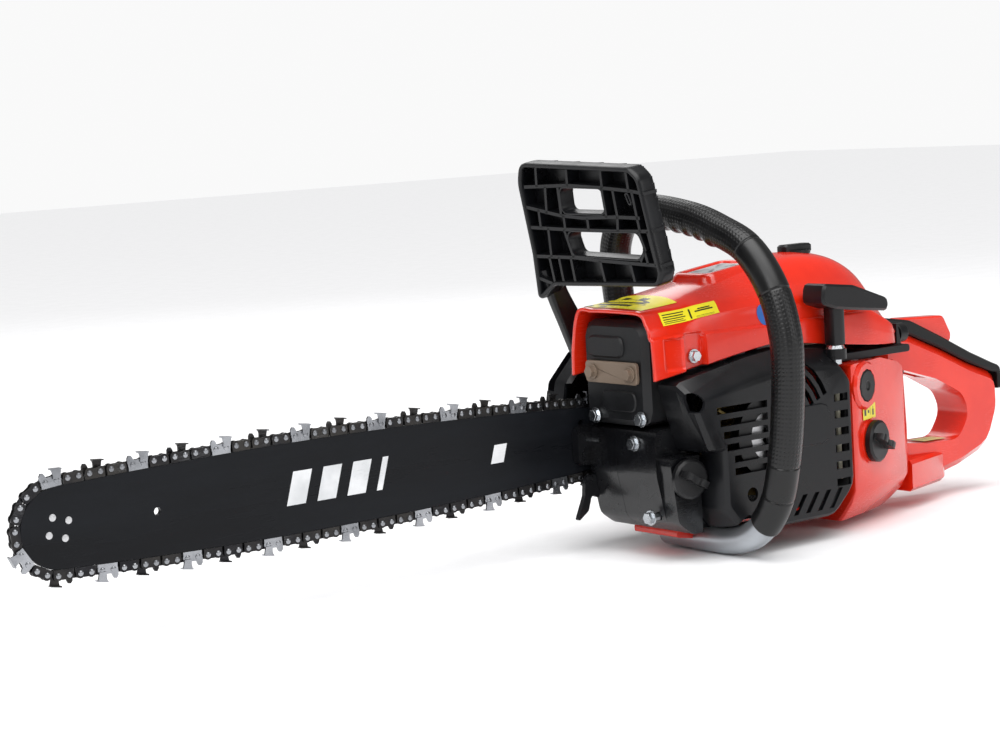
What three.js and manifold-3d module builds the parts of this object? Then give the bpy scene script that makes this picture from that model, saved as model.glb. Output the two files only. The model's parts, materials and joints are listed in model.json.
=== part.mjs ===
// A petrol chainsaw with a 20 inch bar, as an assembly of separate sub-parts.
// Millimetres. +X runs from the bar's nose to the rear handle, -Y is the starter side,
// +Y the bar side, +Z up. The origin is on the flat foot, below the crankshaft. Heights in
// this file are measured from the tank's underside, which stands STAND above the foot's face.
import * as THREE from "three";
import { mergeVertices } from "three/addons/utils/BufferGeometryUtils.js";
import Module from "manifold-3d";

const wasm = await Module();
wasm.setup();

// ---------------------------------------------------------------- driving dimensions
const GAP = 0.3; // clearance between pieces that touch
const STAND = 7.5; // the tank's underside above the ground that the foot rests on
const CRANK_Z = 83; // height of the crankshaft and of the bar's centre line
const BAR_Y = 50; // plane of the bar and chain
const CYLINDER_Y = 10; // plane of the cylinder, where the crankcase halves meet
const NOSE_X = -545; // centre of the bar's nose

const RIVET_STEP = 8.255; // from rivet to rivet: the chain's pitch of 0.325 inch
const RIVETS = 152; // rivets round the loop, two to each drive link
const NOSE_RIVET_R = 32.27; // rivet circle round the nose sprocket
const DRIVE_RIVET_R = 18.5; // rivet circle round the seven-tooth rim
const BELLY_HALF = 37.2; // rivet line's greatest distance from the bar's centre line
const BELLY_X = -343; // where that is
const EDGE_R = 4091; // radius of the bar's long edges
const TAIL_X = -40; // where the chain leaves the bar's rails
const RAIL_DROP = 4.3; // rivet line above the bar's rail
const BAR_THICK = 4;
const GROOVE = 1.7; // width of the bar's groove
const TANG = 1.3; // thickness of drive links and sprocket teeth
const CHAIN_WIDE = 6.2;
const NOSE_HUB_R = 13.6; // inner race that the nose sprocket turns on

const STARTER_FACE_Y = -72; // outer face of the starter cover
const STARTER_BACK_Y = -34 - GAP; // where it meets the crankcase
const CASE_Y = -34; // crankcase face behind the flywheel
const OIL_FACE_Y = -48; // side of the oil tank, in front of the starter cover
const CASE_BOTTOM_Z = 14;
const CASE_FRONT_X = -88;
const CLUTCH_FACE_Y = 86; // outer face of the clutch cover

const HANDLE_X = -30; // plane of the front handle
const TUBE_R = 11; // bare front handle tube
const SLEEVE_R = 12.8; // rubber-covered front handle
const LOOP_HALF = 17; // half the rear handle's width

const REEL_Y = [-67.5, -58];
const FLYWHEEL_Y = [-55, -37];
const FLYWHEEL_R = 48;
const DRUM_Y = [55, 77];
const DRUM_R = 38;
const ROPE = { x: 80, y: -62, r: 2, guideTop: 141 };

// ---------------------------------------------------------------- materials
const finish = (color, roughness, metalness) =>
  new THREE.MeshStandardMaterial({ color, roughness, metalness });
const RED = finish(0xe2351b, 0.25, 0);
const BLACK = finish(0x17181b, 0.45, 0);
const RUBBER = finish(0x161616, 0.65, 0);
const DARK_METAL = finish(0x1d1e20, 0.5, 0.6);
const BARE_METAL = finish(0xb9bbbd, 0.35, 1);
const ZINC = finish(0xc9ccd0, 0.3, 1);
const STEEL = finish(0x8b8e92, 0.35, 1);
const BROWN_STEEL = finish(0x4a3c31, 0.55, 0.8);
const BRASS = finish(0xb79a5b, 0.4, 1);
const WHITE = finish(0xe8e4d8, 0.6, 0);

// ---------------------------------------------------------------- solids
// A closed geometry as a solid: only positions are kept, and shared vertices are merged.
function solid(geometry) {
  const loose = geometry.index ? geometry.toNonIndexed() : geometry;
  const bare = new THREE.BufferGeometry();
  bare.setAttribute("position", loose.getAttribute("position"));
  const merged = mergeVertices(bare, 1e-4);
  return new wasm.Manifold(
    new wasm.Mesh({
      numProp: 3,
      vertProperties: merged.attributes.position.array,
      triVerts: new Uint32Array(merged.index.array),
    }),
  );
}
const join = (first, ...rest) => rest.reduce((a, b) => a.add(b), first);
const cut = (first, ...rest) => rest.reduce((a, b) => a.subtract(b), first);

// The outline through corners [a, b, radius], each rounded with an arc of `steps` pieces;
// an arc takes up no more than half of the shorter edge beside it. They run counter-clockwise.
function rounded(corners, steps = 2) {
  const points = [];
  corners.forEach(([a, b, radius = 0], i) => {
    const here = new THREE.Vector2(a, b);
    const [pa, pb] = corners[(i + corners.length - 1) % corners.length];
    const [na, nb] = corners[(i + 1) % corners.length];
    const back = new THREE.Vector2(pa, pb).sub(here);
    const ahead = new THREE.Vector2(na, nb).sub(here);
    const longest = 0.49 * Math.min(back.length(), ahead.length());
    back.normalize();
    ahead.normalize();
    const half = Math.acos(THREE.MathUtils.clamp(back.dot(ahead), -1, 1)) / 2;
    if (radius === 0 || Math.abs(half - Math.PI / 2) < 1e-4) {
      points.push([a, b]);
      return;
    }
    const reach = Math.min(radius / Math.tan(half), longest);
    const r = reach * Math.tan(half);
    const middle = here.clone().addScaledVector(back.clone().add(ahead).normalize(), r / Math.sin(half));
    const start = here.clone().addScaledVector(back, reach).sub(middle);
    const turn = Math.PI - 2 * half;
    const sign = Math.sign(back.x * ahead.y - back.y * ahead.x);
    for (let k = 0; k <= steps; k++) {
      const arm = start.clone().rotateAround(new THREE.Vector2(), (-sign * turn * k) / steps);
      points.push([middle.x + arm.x, middle.y + arm.y]);
    }
  });
  const area = THREE.ShapeUtils.area(points.map(([a, b]) => new THREE.Vector2(a, b)));
  return area < 0 ? points.reverse() : points;
}

// An outline moved inwards by d, corner by corner; its points run counter-clockwise.
function inset(points, d) {
  return points.map(([a, b], i) => {
    const [pa, pb] = points[(i + points.length - 1) % points.length];
    const [na, nb] = points[(i + 1) % points.length];
    const before = new THREE.Vector2(-(b - pb), a - pa).normalize();
    const after = new THREE.Vector2(-(nb - b), na - a).normalize();
    const mid = before.clone().add(after).normalize();
    const reach = d / Math.max(mid.dot(before), 0.5);
    return [a + mid.x * reach, b + mid.y * reach];
  });
}

// A solid through levels of one outline shape: each level is [height, points], and
// `place` turns (a, b, height) into a point. The two ends are flat.
function loft(levels, place) {
  const count = levels[0][1].length;
  const vertices = levels.flatMap(([h, points]) => points.map(([a, b]) => place(a, b, h)));
  const faces = [];
  for (let l = 0; l + 1 < levels.length; l++)
    for (let i = 0; i < count; i++) {
      const j = (i + 1) % count;
      const [p, q, r, s] = [l * count + i, l * count + j, (l + 1) * count + j, (l + 1) * count + i];
      faces.push([p, q, r], [p, r, s]);
    }
  const cap = (l) =>
    THREE.ShapeUtils.triangulateShape(levels[l][1].map(([a, b]) => new THREE.Vector2(a, b)), []);
  const last = levels.length - 1;
  for (const [i, j, k] of cap(0)) faces.push([k, j, i]);
  for (const [i, j, k] of cap(last)) faces.push([last * count + i, last * count + j, last * count + k]);
  const volume = faces.reduce((sum, [i, j, k]) => {
    const cross = new THREE.Vector3().crossVectors(vertices[j], vertices[k]);
    return sum + vertices[i].dot(cross);
  }, 0);
  if (volume < 0) faces.forEach((f) => f.reverse());
  const geometry = new THREE.BufferGeometry();
  geometry.setAttribute(
    "position",
    new THREE.Float32BufferAttribute(faces.flat().flatMap((v) => vertices[v].toArray()), 3),
  );
  return solid(geometry);
}
const alongY = (a, b, h) => new THREE.Vector3(a, h, b); // outline in x and z
const alongX = (a, b, h) => new THREE.Vector3(h, a, b); // outline in y and z
const alongZ = (a, b, h) => new THREE.Vector3(a, b, h); // outline in x and y

// A plate between two heights, with its edges rounded over `edge` at either end.
function plate(points, from, to, place, edge = 0) {
  if (!edge) return loft([[from, points], [to, points]], place);
  const soft = [[1, 0], [0, 1]]; // inset and depth along the bevelled edge
  return loft(
    [
      ...soft.map(([i, d]) => [from + d * edge, inset(points, i * edge)]),
      ...soft.reverse().map(([i, d]) => [to - d * edge, inset(points, i * edge)]),
    ],
    place,
  );
}
const side = (points, y0, y1, edge) => plate(points, y0, y1, alongY, edge);
const front = (points, x0, x1, edge) => plate(points, x0, x1, alongX, edge);
const plan = (points, z0, z1, edge) => plate(points, z0, z1, alongZ, edge);
const rectangle = (a0, a1, b0, b1, radius = 0, steps = 2) =>
  rounded([[a0, b0, radius], [a1, b0, radius], [a1, b1, radius], [a0, b1, radius]], steps);
const circle = (a, b, r, steps = 14) =>
  Array.from({ length: steps }, (_, i) => {
    const t = (2 * Math.PI * i) / steps;
    return [a + r * Math.cos(t), b + r * Math.sin(t)];
  });
const block = (x0, x1, y0, y1, z0, z1) => side(rectangle(x0, x1, z0, z1), y0, y1);
const shaft = (r, y0, y1, x = 0, z = CRANK_Z, steps = 14) => side(circle(x, z, r, steps), y0, y1);

// A round piece turned from a profile of [radius, distance], along `axis` from `at`.
function turned(profile, at, axis, steps = 12) {
  const lathe = new THREE.LatheGeometry(profile.map(([r, d]) => new THREE.Vector2(r, d)), steps);
  const up = new THREE.Vector3(0, 1, 0);
  const along = new THREE.Vector3(...axis).normalize();
  lathe.applyQuaternion(new THREE.Quaternion().setFromUnitVectors(up, along));
  lathe.translate(...at);
  return solid(lathe);
}

// A round bar of radius r along a smooth curve through the points.
function pipe(points, r, steps, sides = 12) {
  const path = new THREE.CatmullRomCurve3(points.map((p) => new THREE.Vector3(...p)), false, "centripetal");
  const ring = new THREE.Shape(circle(0, 0, r, sides).map(([a, b]) => new THREE.Vector2(a, b)));
  return solid(new THREE.ExtrudeGeometry(ring, { steps, bevelEnabled: false, extrudePath: path }));
}

const saw = new THREE.Group();
const raised = new THREE.Group();
raised.position.z = STAND;
saw.add(raised);
function add(name, made, material) {
  const { numProp, vertProperties, triVerts } = made.getMesh();
  const count = vertProperties.length / numProp;
  const positions = new Float32Array(count * 3);
  for (let i = 0; i < count; i++)
    positions.set(vertProperties.subarray(i * numProp, i * numProp + 3), i * 3);
  const geometry = new THREE.BufferGeometry();
  geometry.setAttribute("position", new THREE.BufferAttribute(positions, 3));
  geometry.setIndex(new THREE.BufferAttribute(triVerts, 1));
  geometry.computeVertexNormals();
  const mesh = new THREE.Mesh(geometry, material);
  mesh.name = name;
  raised.add(mesh);
}

// ---------------------------------------------------------------- bar and chain
// The rivet line's height above the centre line at x, on the bar's long edges.
const bellyHeight = (x) => BELLY_HALF - (x - BELLY_X) ** 2 / (2 * EDGE_R);

// Where the chain runs straight from the bar's tail to the drive sprocket's circle.
const driveAngle = (() => {
  let angle = 0.15; // of the straight run below the horizontal
  for (let i = 0; i < 20; i++) {
    const touchX = DRIVE_RIVET_R * Math.sin(angle);
    const touchZ = DRIVE_RIVET_R * Math.cos(angle);
    angle = Math.atan2(bellyHeight(TAIL_X) - touchZ, touchX - TAIL_X);
  }
  return angle;
})();

// Points [x, z, normal x, normal z] once round the rivet line, counter-clockwise from the
// nose's foremost point: under the bar, round the drive sprocket and back over the top.
function rivetLine(edgeStep = 60, noseSteps = 8, driveSteps = 6) {
  const upper = [];
  const noseEnd = Math.PI / 2 - Math.atan2(NOSE_X - BELLY_X, EDGE_R);
  for (let i = 0; i <= noseSteps; i++) {
    const t = Math.PI - (i * (Math.PI - noseEnd)) / noseSteps;
    upper.push([NOSE_X + NOSE_RIVET_R * Math.cos(t), NOSE_RIVET_R * Math.sin(t), Math.cos(t), Math.sin(t)]);
  }
  const start = upper[upper.length - 1][0];
  const pieces = Math.round((TAIL_X - start) / edgeStep);
  for (let i = 1; i <= pieces; i++) {
    const x = start + (i * (TAIL_X - start)) / pieces;
    const slope = Math.atan2(x - BELLY_X, EDGE_R);
    upper.push([x, bellyHeight(x), Math.sin(slope), Math.cos(slope)]);
  }
  for (let i = 0; i <= driveSteps; i++) {
    const t = (1 - i / driveSteps) * (Math.PI / 2 - driveAngle);
    upper.push([DRIVE_RIVET_R * Math.cos(t), DRIVE_RIVET_R * Math.sin(t), Math.cos(t), Math.sin(t)]);
  }
  const lower = upper.slice(0, -1).map(([x, z, nx, nz]) => [x, -z, nx, -nz]);
  return [...lower, ...upper.slice(1).reverse()].map(([x, z, nx, nz]) => [x, z + CRANK_Z, nx, nz]);
}
const offsetLine = (line, d) => line.map(([x, z, nx, nz]) => [x + nx * d, z + nz * d]);

// The place at a distance along the rivet line from the nose's foremost point, over the top.
function rivetPlace(distance) {
  const line = [...rivetLine(8, 24, 16)].reverse();
  line.unshift(line.pop());
  line.push(line[0]);
  let left = distance % (RIVETS * RIVET_STEP);
  for (let i = 0; i + 1 < line.length; i++) {
    const [x, z, nx, nz] = line[i];
    const [x2, z2, nx2, nz2] = line[i + 1];
    const length = Math.hypot(x2 - x, z2 - z);
    if (left <= length || i + 2 === line.length) {
      const f = left / length;
      return { x: x + f * (x2 - x), z: z + f * (z2 - z), nx: nx + f * (nx2 - nx), nz: nz + f * (nz2 - nz) };
    }
    left -= length;
  }
}

const line = rivetLine();
const noseDisc = (r, thick) => shaft(r, BAR_Y - thick / 2, BAR_Y + thick / 2, NOSE_X, CRANK_Z, 24);

const STUD_X = [-84, -54];
const STUD_R = 4;
{
  const rail = offsetLine(line, -RAIL_DROP).filter(([x]) => x < TAIL_X - 2);
  const half = bellyHeight(TAIL_X) - RAIL_DROP;
  const upper = rail.filter(([, z]) => z > CRANK_Z);
  const outline = [
    ...rail.filter(([, z]) => z <= CRANK_Z),
    [TAIL_X, CRANK_Z - half], [TAIL_X + 10, CRANK_Z - half + 6],
    [TAIL_X + 10, CRANK_Z + half - 6], [TAIL_X, CRANK_Z + half],
    ...upper,
  ];
  const whole = side(outline, BAR_Y - BAR_THICK / 2, BAR_Y + BAR_THICK / 2);
  const core = side(inset(outline, 6), BAR_Y - GROOVE / 2 - 1, BAR_Y + GROOVE / 2 + 1);
  const groove = cut(side(inset(outline, -3), BAR_Y - GROOVE / 2, BAR_Y + GROOVE / 2), core);
  const noseSlot = cut(noseDisc(45, GROOVE), noseDisc(NOSE_HUB_R, 6));
  const studSlot = side(rectangle(-100, -46, CRANK_Z - 4.4, CRANK_Z + 4.4, 4.3), BAR_Y - 9, BAR_Y + 9);
  const holes = [[-66, 16], [-66, -16], [-92, 13], [-92, -13], [-470, 0]];
  const drilled = holes.map(([x, z]) => shaft(2.8, BAR_Y - 9, BAR_Y + 9, x, CRANK_Z + z, 12));
  add("guide_bar", cut(whole, groove, noseSlot, studSlot, ...drilled), DARK_METAL);
}

// A ring of teeth: `count` teeth of tip radius `tip` on a disc of radius `root`.
function toothed(count, tip, root, x, z) {
  return Array.from({ length: count * 4 }, (_, i) => {
    const t = (2 * Math.PI * (i + 0.5)) / (count * 4);
    const r = i % 4 < 2 ? tip : root;
    return [x + r * Math.cos(t), z + r * Math.sin(t)];
  });
}
{
  const teeth = side(toothed(12, 30.9, 26, NOSE_X, CRANK_Z), BAR_Y - TANG / 2, BAR_Y + TANG / 2);
  add("nose_sprocket", cut(teeth, noseDisc(NOSE_HUB_R + 0.4, 6)), STEEL);
}
{
  const strap = cut(
    side(offsetLine(line, 3.6), BAR_Y - CHAIN_WIDE / 2, BAR_Y + CHAIN_WIDE / 2),
    side(offsetLine(line, -RAIL_DROP + GAP), BAR_Y - 9, BAR_Y + 9),
  );
  const tangs = cut(
    side(offsetLine(line, 0), BAR_Y - TANG / 2, BAR_Y + TANG / 2),
    side(offsetLine(line, -9), BAR_Y - 9, BAR_Y + 9),
  );
  const noseRun = noseDisc(31.4, GROOVE);
  const driveRun = shaft(18, BAR_Y - GROOVE / 2, BAR_Y + GROOVE / 2);
  let chain = cut(join(strap, tangs), noseRun, driveRun);
  // A cutter, from its depth gauge at the leading end to the heel of its top plate.
  const cutter = [[-8, -1], [9, -1], [8.5, 8.2], [1, 7.6], [-6, 6.6]];
  for (let k = 0; k < RIVETS; k += 4) {
    const { x, z, nx, nz } = rivetPlace((k + 0.5 + 5.25) * RIVET_STEP);
    const place = ([t, n]) => [x + t * nz + n * nx, z - t * nx + n * nz];
    const across = k % 8 === 0 ? [BAR_Y - 3.8, BAR_Y + 0.4] : [BAR_Y - 0.4, BAR_Y + 3.8];
    chain = join(chain, side(cutter.map(place), ...across));
  }
  add("saw_chain", chain, STEEL);
}
{
  const rim = shaft(13.9, BAR_Y - 3.4, BAR_Y + 3.4);
  const teeth = side(toothed(7, 17.4, 12, 0, CRANK_Z), BAR_Y - TANG / 2, BAR_Y + TANG / 2);
  add("rim_sprocket", cut(join(rim, teeth), shaft(7.4, 0, 90)), STEEL);
}

// ---------------------------------------------------------------- front handle path
const handlePath = [
  [58, 132], [62, 155], [66, 180], [69, 207], [67, 232], [54, 251], [26, 258], [-22, 252], [-55, 242],
  [-84.5, 228], [-108, 200], [-119.5, 166], [-120.5, 137], [-118.5, 110], [-115.5, 87], [-111, 65],
  [-105, 44.5], [-94, 26], [-78, 12], [-58, 5.5], [-36, 4], [-5, 4.4], [22, 5],
].map(([y, z]) => [HANDLE_X, y, z]);
const tubeRun = (r) => pipe(handlePath, r, 26, 8);
const tubeRoom = tubeRun(TUBE_R + 1.2);

// ---------------------------------------------------------------- engine
const crankRoom = shaft(32, -14, 34);
const mainBore = shaft(17 + GAP, -60, 60);
const caseOutline = rounded([
  [CASE_FRONT_X, 60, 20], [-80, 24, 10], [-66, CASE_BOTTOM_Z, 8], [66, CASE_BOTTOM_Z, 12], [76, 40, 10],
  [76, 118, 8], [34, 128 - GAP, 0], [-44, 128 - GAP, 0], [-46, 95, 2], [CASE_FRONT_X, 95, 6],
]);
const capWay = { at: [-71, OIL_FACE_Y, 58], out: [-Math.sin(0.12), -Math.cos(0.12), 0] };
const boltPlaces = [[-11, 84], [-26, 28]]; // y and z of the bolts on the crankcase's front
{
  const oilTank = rounded([
    [-86, 70, 10], [-80, 24, 8], [-66, CASE_BOTTOM_Z, 6],
    [-56, CASE_BOTTOM_Z, 2], [-56, 74, 2], [-84, 74, 4],
  ]);
  const shell = side(caseOutline, CASE_Y, CYLINDER_Y + 1.8);
  const half = join(shell, side(oilTank, OIL_FACE_Y, CASE_Y + 1));
  const neck = turned([[0, -12], [11.6, -12], [11.6, 8], [0, 8]], capWay.at, capWay.out);
  const screwHoles = boltPlaces.map(([y, z]) => front(circle(y, z, 3.4, 12), -100, -70));
  const bore = plan(circle(-4, CYLINDER_Y, 25.5), 100, 140);
  const drilled = cut(half, crankRoom, mainBore, neck, tubeRoom, bore, ...screwHoles);
  add("crankcase_starter_side", drilled, DARK_METAL);
}
{
  const pad = side(rounded([[-102, 64, 6], [-40, 64, 4], [-40, 95, 4], [-102, 95, 6]]), 40, BAR_Y - 2.3);
  const lug = block(-44, -16, 41, 53, 119, 131.5);
  const half = join(side(caseOutline, CYLINDER_Y + 2.1, 44), pad, lug);
  const studs = STUD_X.map((x) => shaft(STUD_R + GAP, 30, 60, x, CRANK_Z, 16));
  const bore = plan(circle(-4, CYLINDER_Y, 25.5), 100, 140);
  add("crankcase_bar_side", cut(half, crankRoom, mainBore, tubeRoom, bore, ...studs), DARK_METAL);
}
for (const [name, y0, y1] of [["bearing_starter_side", -30, -15], ["bearing_bar_side", 35, 43]])
  add(name, cut(shaft(17, y0, y1), shaft(6.4, -90, 90)), STEEL);

{
  const webs = join(shaft(30, -9, 2), shaft(30, 18, 29));
  const pin = shaft(7, 1, 19, 0, CRANK_Z + 15, 16);
  add("crankshaft", join(shaft(6, -57, 79), webs, pin), STEEL);
}
{
  const [y0, y1] = FLYWHEEL_Y;
  const disc = join(shaft(FLYWHEEL_R - 2, y1 - 6, y1, 0, CRANK_Z, 24), shaft(12, y0 + 2, y1));
  const rim = cut(shaft(FLYWHEEL_R, y1 - 13, y1, 0, CRANK_Z, 24), shaft(FLYWHEEL_R - 6, y0, y1 - 5.9));
  const fins = Array.from({ length: 12 }, (_, i) => {
    const t = (2 * Math.PI * i) / 12;
    const [c, s] = [Math.cos(t), Math.sin(t)];
    const blade = [[20, -1], [FLYWHEEL_R - 1, -1], [FLYWHEEL_R - 1, 1], [20, 1]];
    return side(blade.map(([u, v]) => [u * c - v * s, CRANK_Z + u * s + v * c]), y0, y1 - 3);
  });
  add("flywheel", cut(join(disc, rim, ...fins), shaft(6.25, -90, 90)), BRASS);
}
{
  const [y0, y1] = DRUM_Y;
  const cup = cut(shaft(DRUM_R, y0, y1, 0, CRANK_Z, 24), shaft(DRUM_R - 1.8, y0 + 2, y1 + 9, 0, CRANK_Z, 24));
  const slots = [0, 1, 2].map((i) => {
    const t = (2 * Math.PI * i) / 3;
    return shaft(7, y0 - 5, y0 + 5, 22 * Math.cos(t), CRANK_Z + 22 * Math.sin(t), 16);
  });
  add("clutch_drum", cut(cup, shaft(7.4, y0 - 9, y1), ...slots), STEEL);
}
{
  const ring = cut(shaft(34, 60, 73, 0, CRANK_Z, 24), shaft(24, 50, 90));
  const arms = [0, 1, 2].map((i) => {
    const t = (2 * Math.PI * i) / 3;
    const [c, s] = [Math.cos(t), Math.sin(t)];
    const arm = [[5, -6], [26, -6], [26, 6], [5, 6]];
    return side(arm.map(([u, v]) => [u * c - v * s, CRANK_Z + u * s + v * c]), 61, 72);
  });
  const splits = [0, 1, 2].map((i) => {
    const t = (2 * Math.PI * (i + 0.5)) / 3;
    const [c, s] = [Math.cos(t), Math.sin(t)];
    const gap = [[27, -1], [40, -1], [40, 1], [27, 1]];
    return side(gap.map(([u, v]) => [u * c - v * s, CRANK_Z + u * s + v * c]), 50, 90);
  });
  const hub = join(ring, shaft(12, 59, 75), ...arms);
  add("clutch_shoes", cut(hub, shaft(6.25, 50, 90), ...splits), STEEL);
}
{
  const barrel = plan(circle(-4, CYLINDER_Y, 30), 128, 172);
  const finLevels = Array.from({ length: 5 }, (_, i) => 136 + 8 * i);
  const fins = finLevels.map((z) => plan(rectangle(-40, 30, -22, 40), z, z + 2.4));
  const port = join(block(-46, -20, -8, 28, 138, 164), block(10, 36, -6, 26, 136, 160));
  const skirt = plan(circle(-4, CYLINDER_Y, 25), 112, 130);
  const bore = plan(circle(-4, CYLINDER_Y, 22.4), 100, 166);
  const plugWay = plan(circle(-4, CYLINDER_Y, 5.3, 16), 150, 190);
  add("cylinder", cut(join(barrel, skirt, port, ...fins), bore, plugWay), BARE_METAL);
}
{
  const crown = plan(circle(-4, CYLINDER_Y, 22), 124, 160);
  add("piston", cut(crown, plan(circle(-4, CYLINDER_Y, 18), 110, 154)), BARE_METAL);
  const plug = [[0, 0], [5, 0], [5, 10], [8, 10], [8, 15], [3.5, 15], [3.5, 20], [0, 20]];
  add("spark_plug", turned(plug, [-4, CYLINDER_Y, 162.5], [0, 0, 1]), WHITE);
}
{
  const cap = turned([[0, 0], [8, 0], [8, 9], [0, 9]], [-4, CYLINDER_Y, 178], [0, 0, 1]);
  const room = turned([[0, -9], [4, -9], [4, 4.9], [0, 4.9]], [-4, CYLINDER_Y, 178], [0, 0, 1]);
  const neck = front(circle(CYLINDER_Y, 182.5, 4, 12), -4, 24);
  add("spark_plug_boot", cut(join(cap, neck), room), RUBBER);
}
{
  const core = block(-16, 16, -42, -36, 132.5, 137);
  add("ignition_coil", join(core, block(-9, 9, -41, -35, 136, 141)), BLACK);
}

// ---------------------------------------------------------------- muffler
const MUFFLER = { x0: -90, x1: -48, y0: -30, y1: 44, z0: 97, z1: 178 };
{
  const { x0, x1, y0, y1, z0, z1 } = MUFFLER;
  const shell = front(rectangle(y0, y1, z0, z1, 12), x0, x1, 5);
  const panel = front(rectangle(-6, 36, 149, 166, 6), x0 - 2, x0 + 3, 1.5);
  const lowPanel = front(rectangle(-18, 22, 108, 124, 6), x0 - 1.5, x0 + 3, 1);
  const ways = [[28, 138], [-16, 138]].map(([y, z]) => front(circle(y, z, 3.2, 12), x0 - 9, x0 + 12));
  const feet = [[30, 103.5], [-23, 103.5]].map(([y, z]) => front(circle(y, z, 3.2, 12), x0 - 9, x0 + 12));
  add("muffler", cut(join(shell, panel, lowPanel), ...ways, ...feet), DARK_METAL);
  const bar = front(rectangle(-23, 37, 129.5, 146.5, 3), x0 - 3.5, x0 - GAP);
  add("muffler_bracket", cut(bar, ...ways), BROWN_STEEL);
}
// A flanged hexagon bolt whose head stands at `at` and whose shank runs in along -X.
function bolt(x, y, z, shank = 8) {
  const head = front(circle(y, z, 4.6, 6), x - 5, x - 1);
  const flange = front(circle(y, z, 6, 12), x - 1.4, x);
  return join(head, flange, front(circle(y, z, 2.8, 6), x - 1, x + shank));
}
add("bracket_bolt_1", bolt(MUFFLER.x0 - 3.8, 28, 138), BROWN_STEEL);
add("bracket_bolt_2", bolt(MUFFLER.x0 - 3.8, -16, 138), BROWN_STEEL);
add("muffler_bolt_1", bolt(MUFFLER.x0 - GAP, 30, 103.5), ZINC);
add("muffler_bolt_2", bolt(MUFFLER.x0 - GAP, -23, 103.5), ZINC);
boltPlaces.forEach(([y, z], i) => add(`crankcase_bolt_${i + 1}`, bolt(CASE_FRONT_X - GAP, y, z), ZINC));

// ---------------------------------------------------------------- intake
{
  const boot = front(circle(10, 148, 13), 36 + GAP, 47 - GAP);
  add("intake_boot", cut(boot, front(circle(10, 148, 9), 30, 60)), RUBBER);
  const body = join(block(47, 74, -8, 28, 132, 162), front(circle(10, 148, 14), 70, 78));
  add("carburettor", cut(body, front(circle(10, 148, 8), 40, 90)), BARE_METAL);
}
add("air_filter", plan(rectangle(82, 136, -24, 34, 12), 141, 172, 3), WHITE);

// ---------------------------------------------------------------- fuel tank and base
const fuelFace = { at: [122, -57.7, 62], out: [Math.sin(0.28), -Math.cos(0.28), 0] };
const boss = { at: [112, -60.6, 108], out: [Math.sin(0.28), -Math.cos(0.28), 0] };
// The tank seen from above, drawn in by d on its three free sides.
const tankPlan = (d) => rounded([
  [92, -66.5 + d, 3], [192 - d, -37.7 + d, 22 - d * 0.6],
  [192 - d, 38 - d, 16 - d * 0.5], [92, 44 - d, 6 - d * 0.2],
]);
{
  const profile = rounded([
    [90, 0, 2], [188, 0, 14], [192, 40, 10], [178, 118, 16], [140, 127, 8], [92, 127, 4],
  ]);
  const body = side(profile, -80, 60).intersect(loft([
    [-5, tankPlan(22)], [6, tankPlan(12)], [16, tankPlan(4)], [26, tankPlan(0)], [140, tankPlan(0)],
  ], alongZ));
  const lump = turned([[0, -16], [20, -16], [20, 1], [18, 3], [0, 3]], boss.at, boss.out);
  const rest = side(rounded([[-58, 7, 2], [-18, 0, 0], [96, 0, 0], [96, 13, 0], [-58, 13, 2]]), -20, 30);
  const foot = block(-14, 22, -12, 30, -STAND, 2);
  const stopper = turned([[0, -14], [12.6, -14], [12.6, 9], [0, 9]], fuelFace.at, fuelFace.out);
  const plugWay = turned([[0, -6], [13.3, -6], [13.3, 9], [0, 9]], boss.at, boss.out);
  const neckRing = turned([[0, -8], [19, -8], [19, 1.5], [0, 1.5]], fuelFace.at, fuelFace.out);
  add("fuel_tank", cut(join(body, lump, rest, foot, neckRing), stopper, plugWay, tubeRoom), RED);
}
{
  const plug = [[0, -5.6], [13, -5.6], [13, 2.4], [12, 3.6], [4, 3.6], [3, 2.6], [0, 2.6]];
  add("av_plug", turned(plug, boss.at, boss.out), RUBBER);
}

// A filler cap with a stopper of radius r, a disc and a raised grip bar across it.
function fillerCap(at, out, stopperR, discR, proud) {
  const outward = new THREE.Vector3(...out);
  const body = turned([
    [0, -8], [stopperR, -8], [stopperR, proud], [discR, proud], [discR, proud + 4],
    [discR - 2, proud + 5.5], [0, proud + 5.5],
  ], at, out, 16);
  const grip = rounded([
    [-11, 0], [11, 0], [11, 9, 2], [3.4, 9, 1], [3, 6, 1], [-3, 6, 1], [-3.4, 9, 1], [-11, 9, 2],
  ]);
  const across = new THREE.Vector3(0, 0, 1).cross(outward);
  const tilt = across.clone().multiplyScalar(0.87).add(new THREE.Vector3(0, 0, -0.5));
  const thick = new THREE.Vector3().crossVectors(outward, tilt);
  const base = new THREE.Vector3(...at).addScaledVector(outward, proud + 5);
  const bar = plate(grip, -2.6, 2.6, (a, b, h) =>
    base.clone().addScaledVector(tilt, a).addScaledVector(outward, b).addScaledVector(thick, h));
  return join(body, bar);
}
add("oil_cap", fillerCap(capWay.at, capWay.out, 11, 15.5, 3), BLACK);
add("fuel_cap", fillerCap(fuelFace.at, fuelFace.out, 12, 17, 2.2), BLACK);

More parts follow.
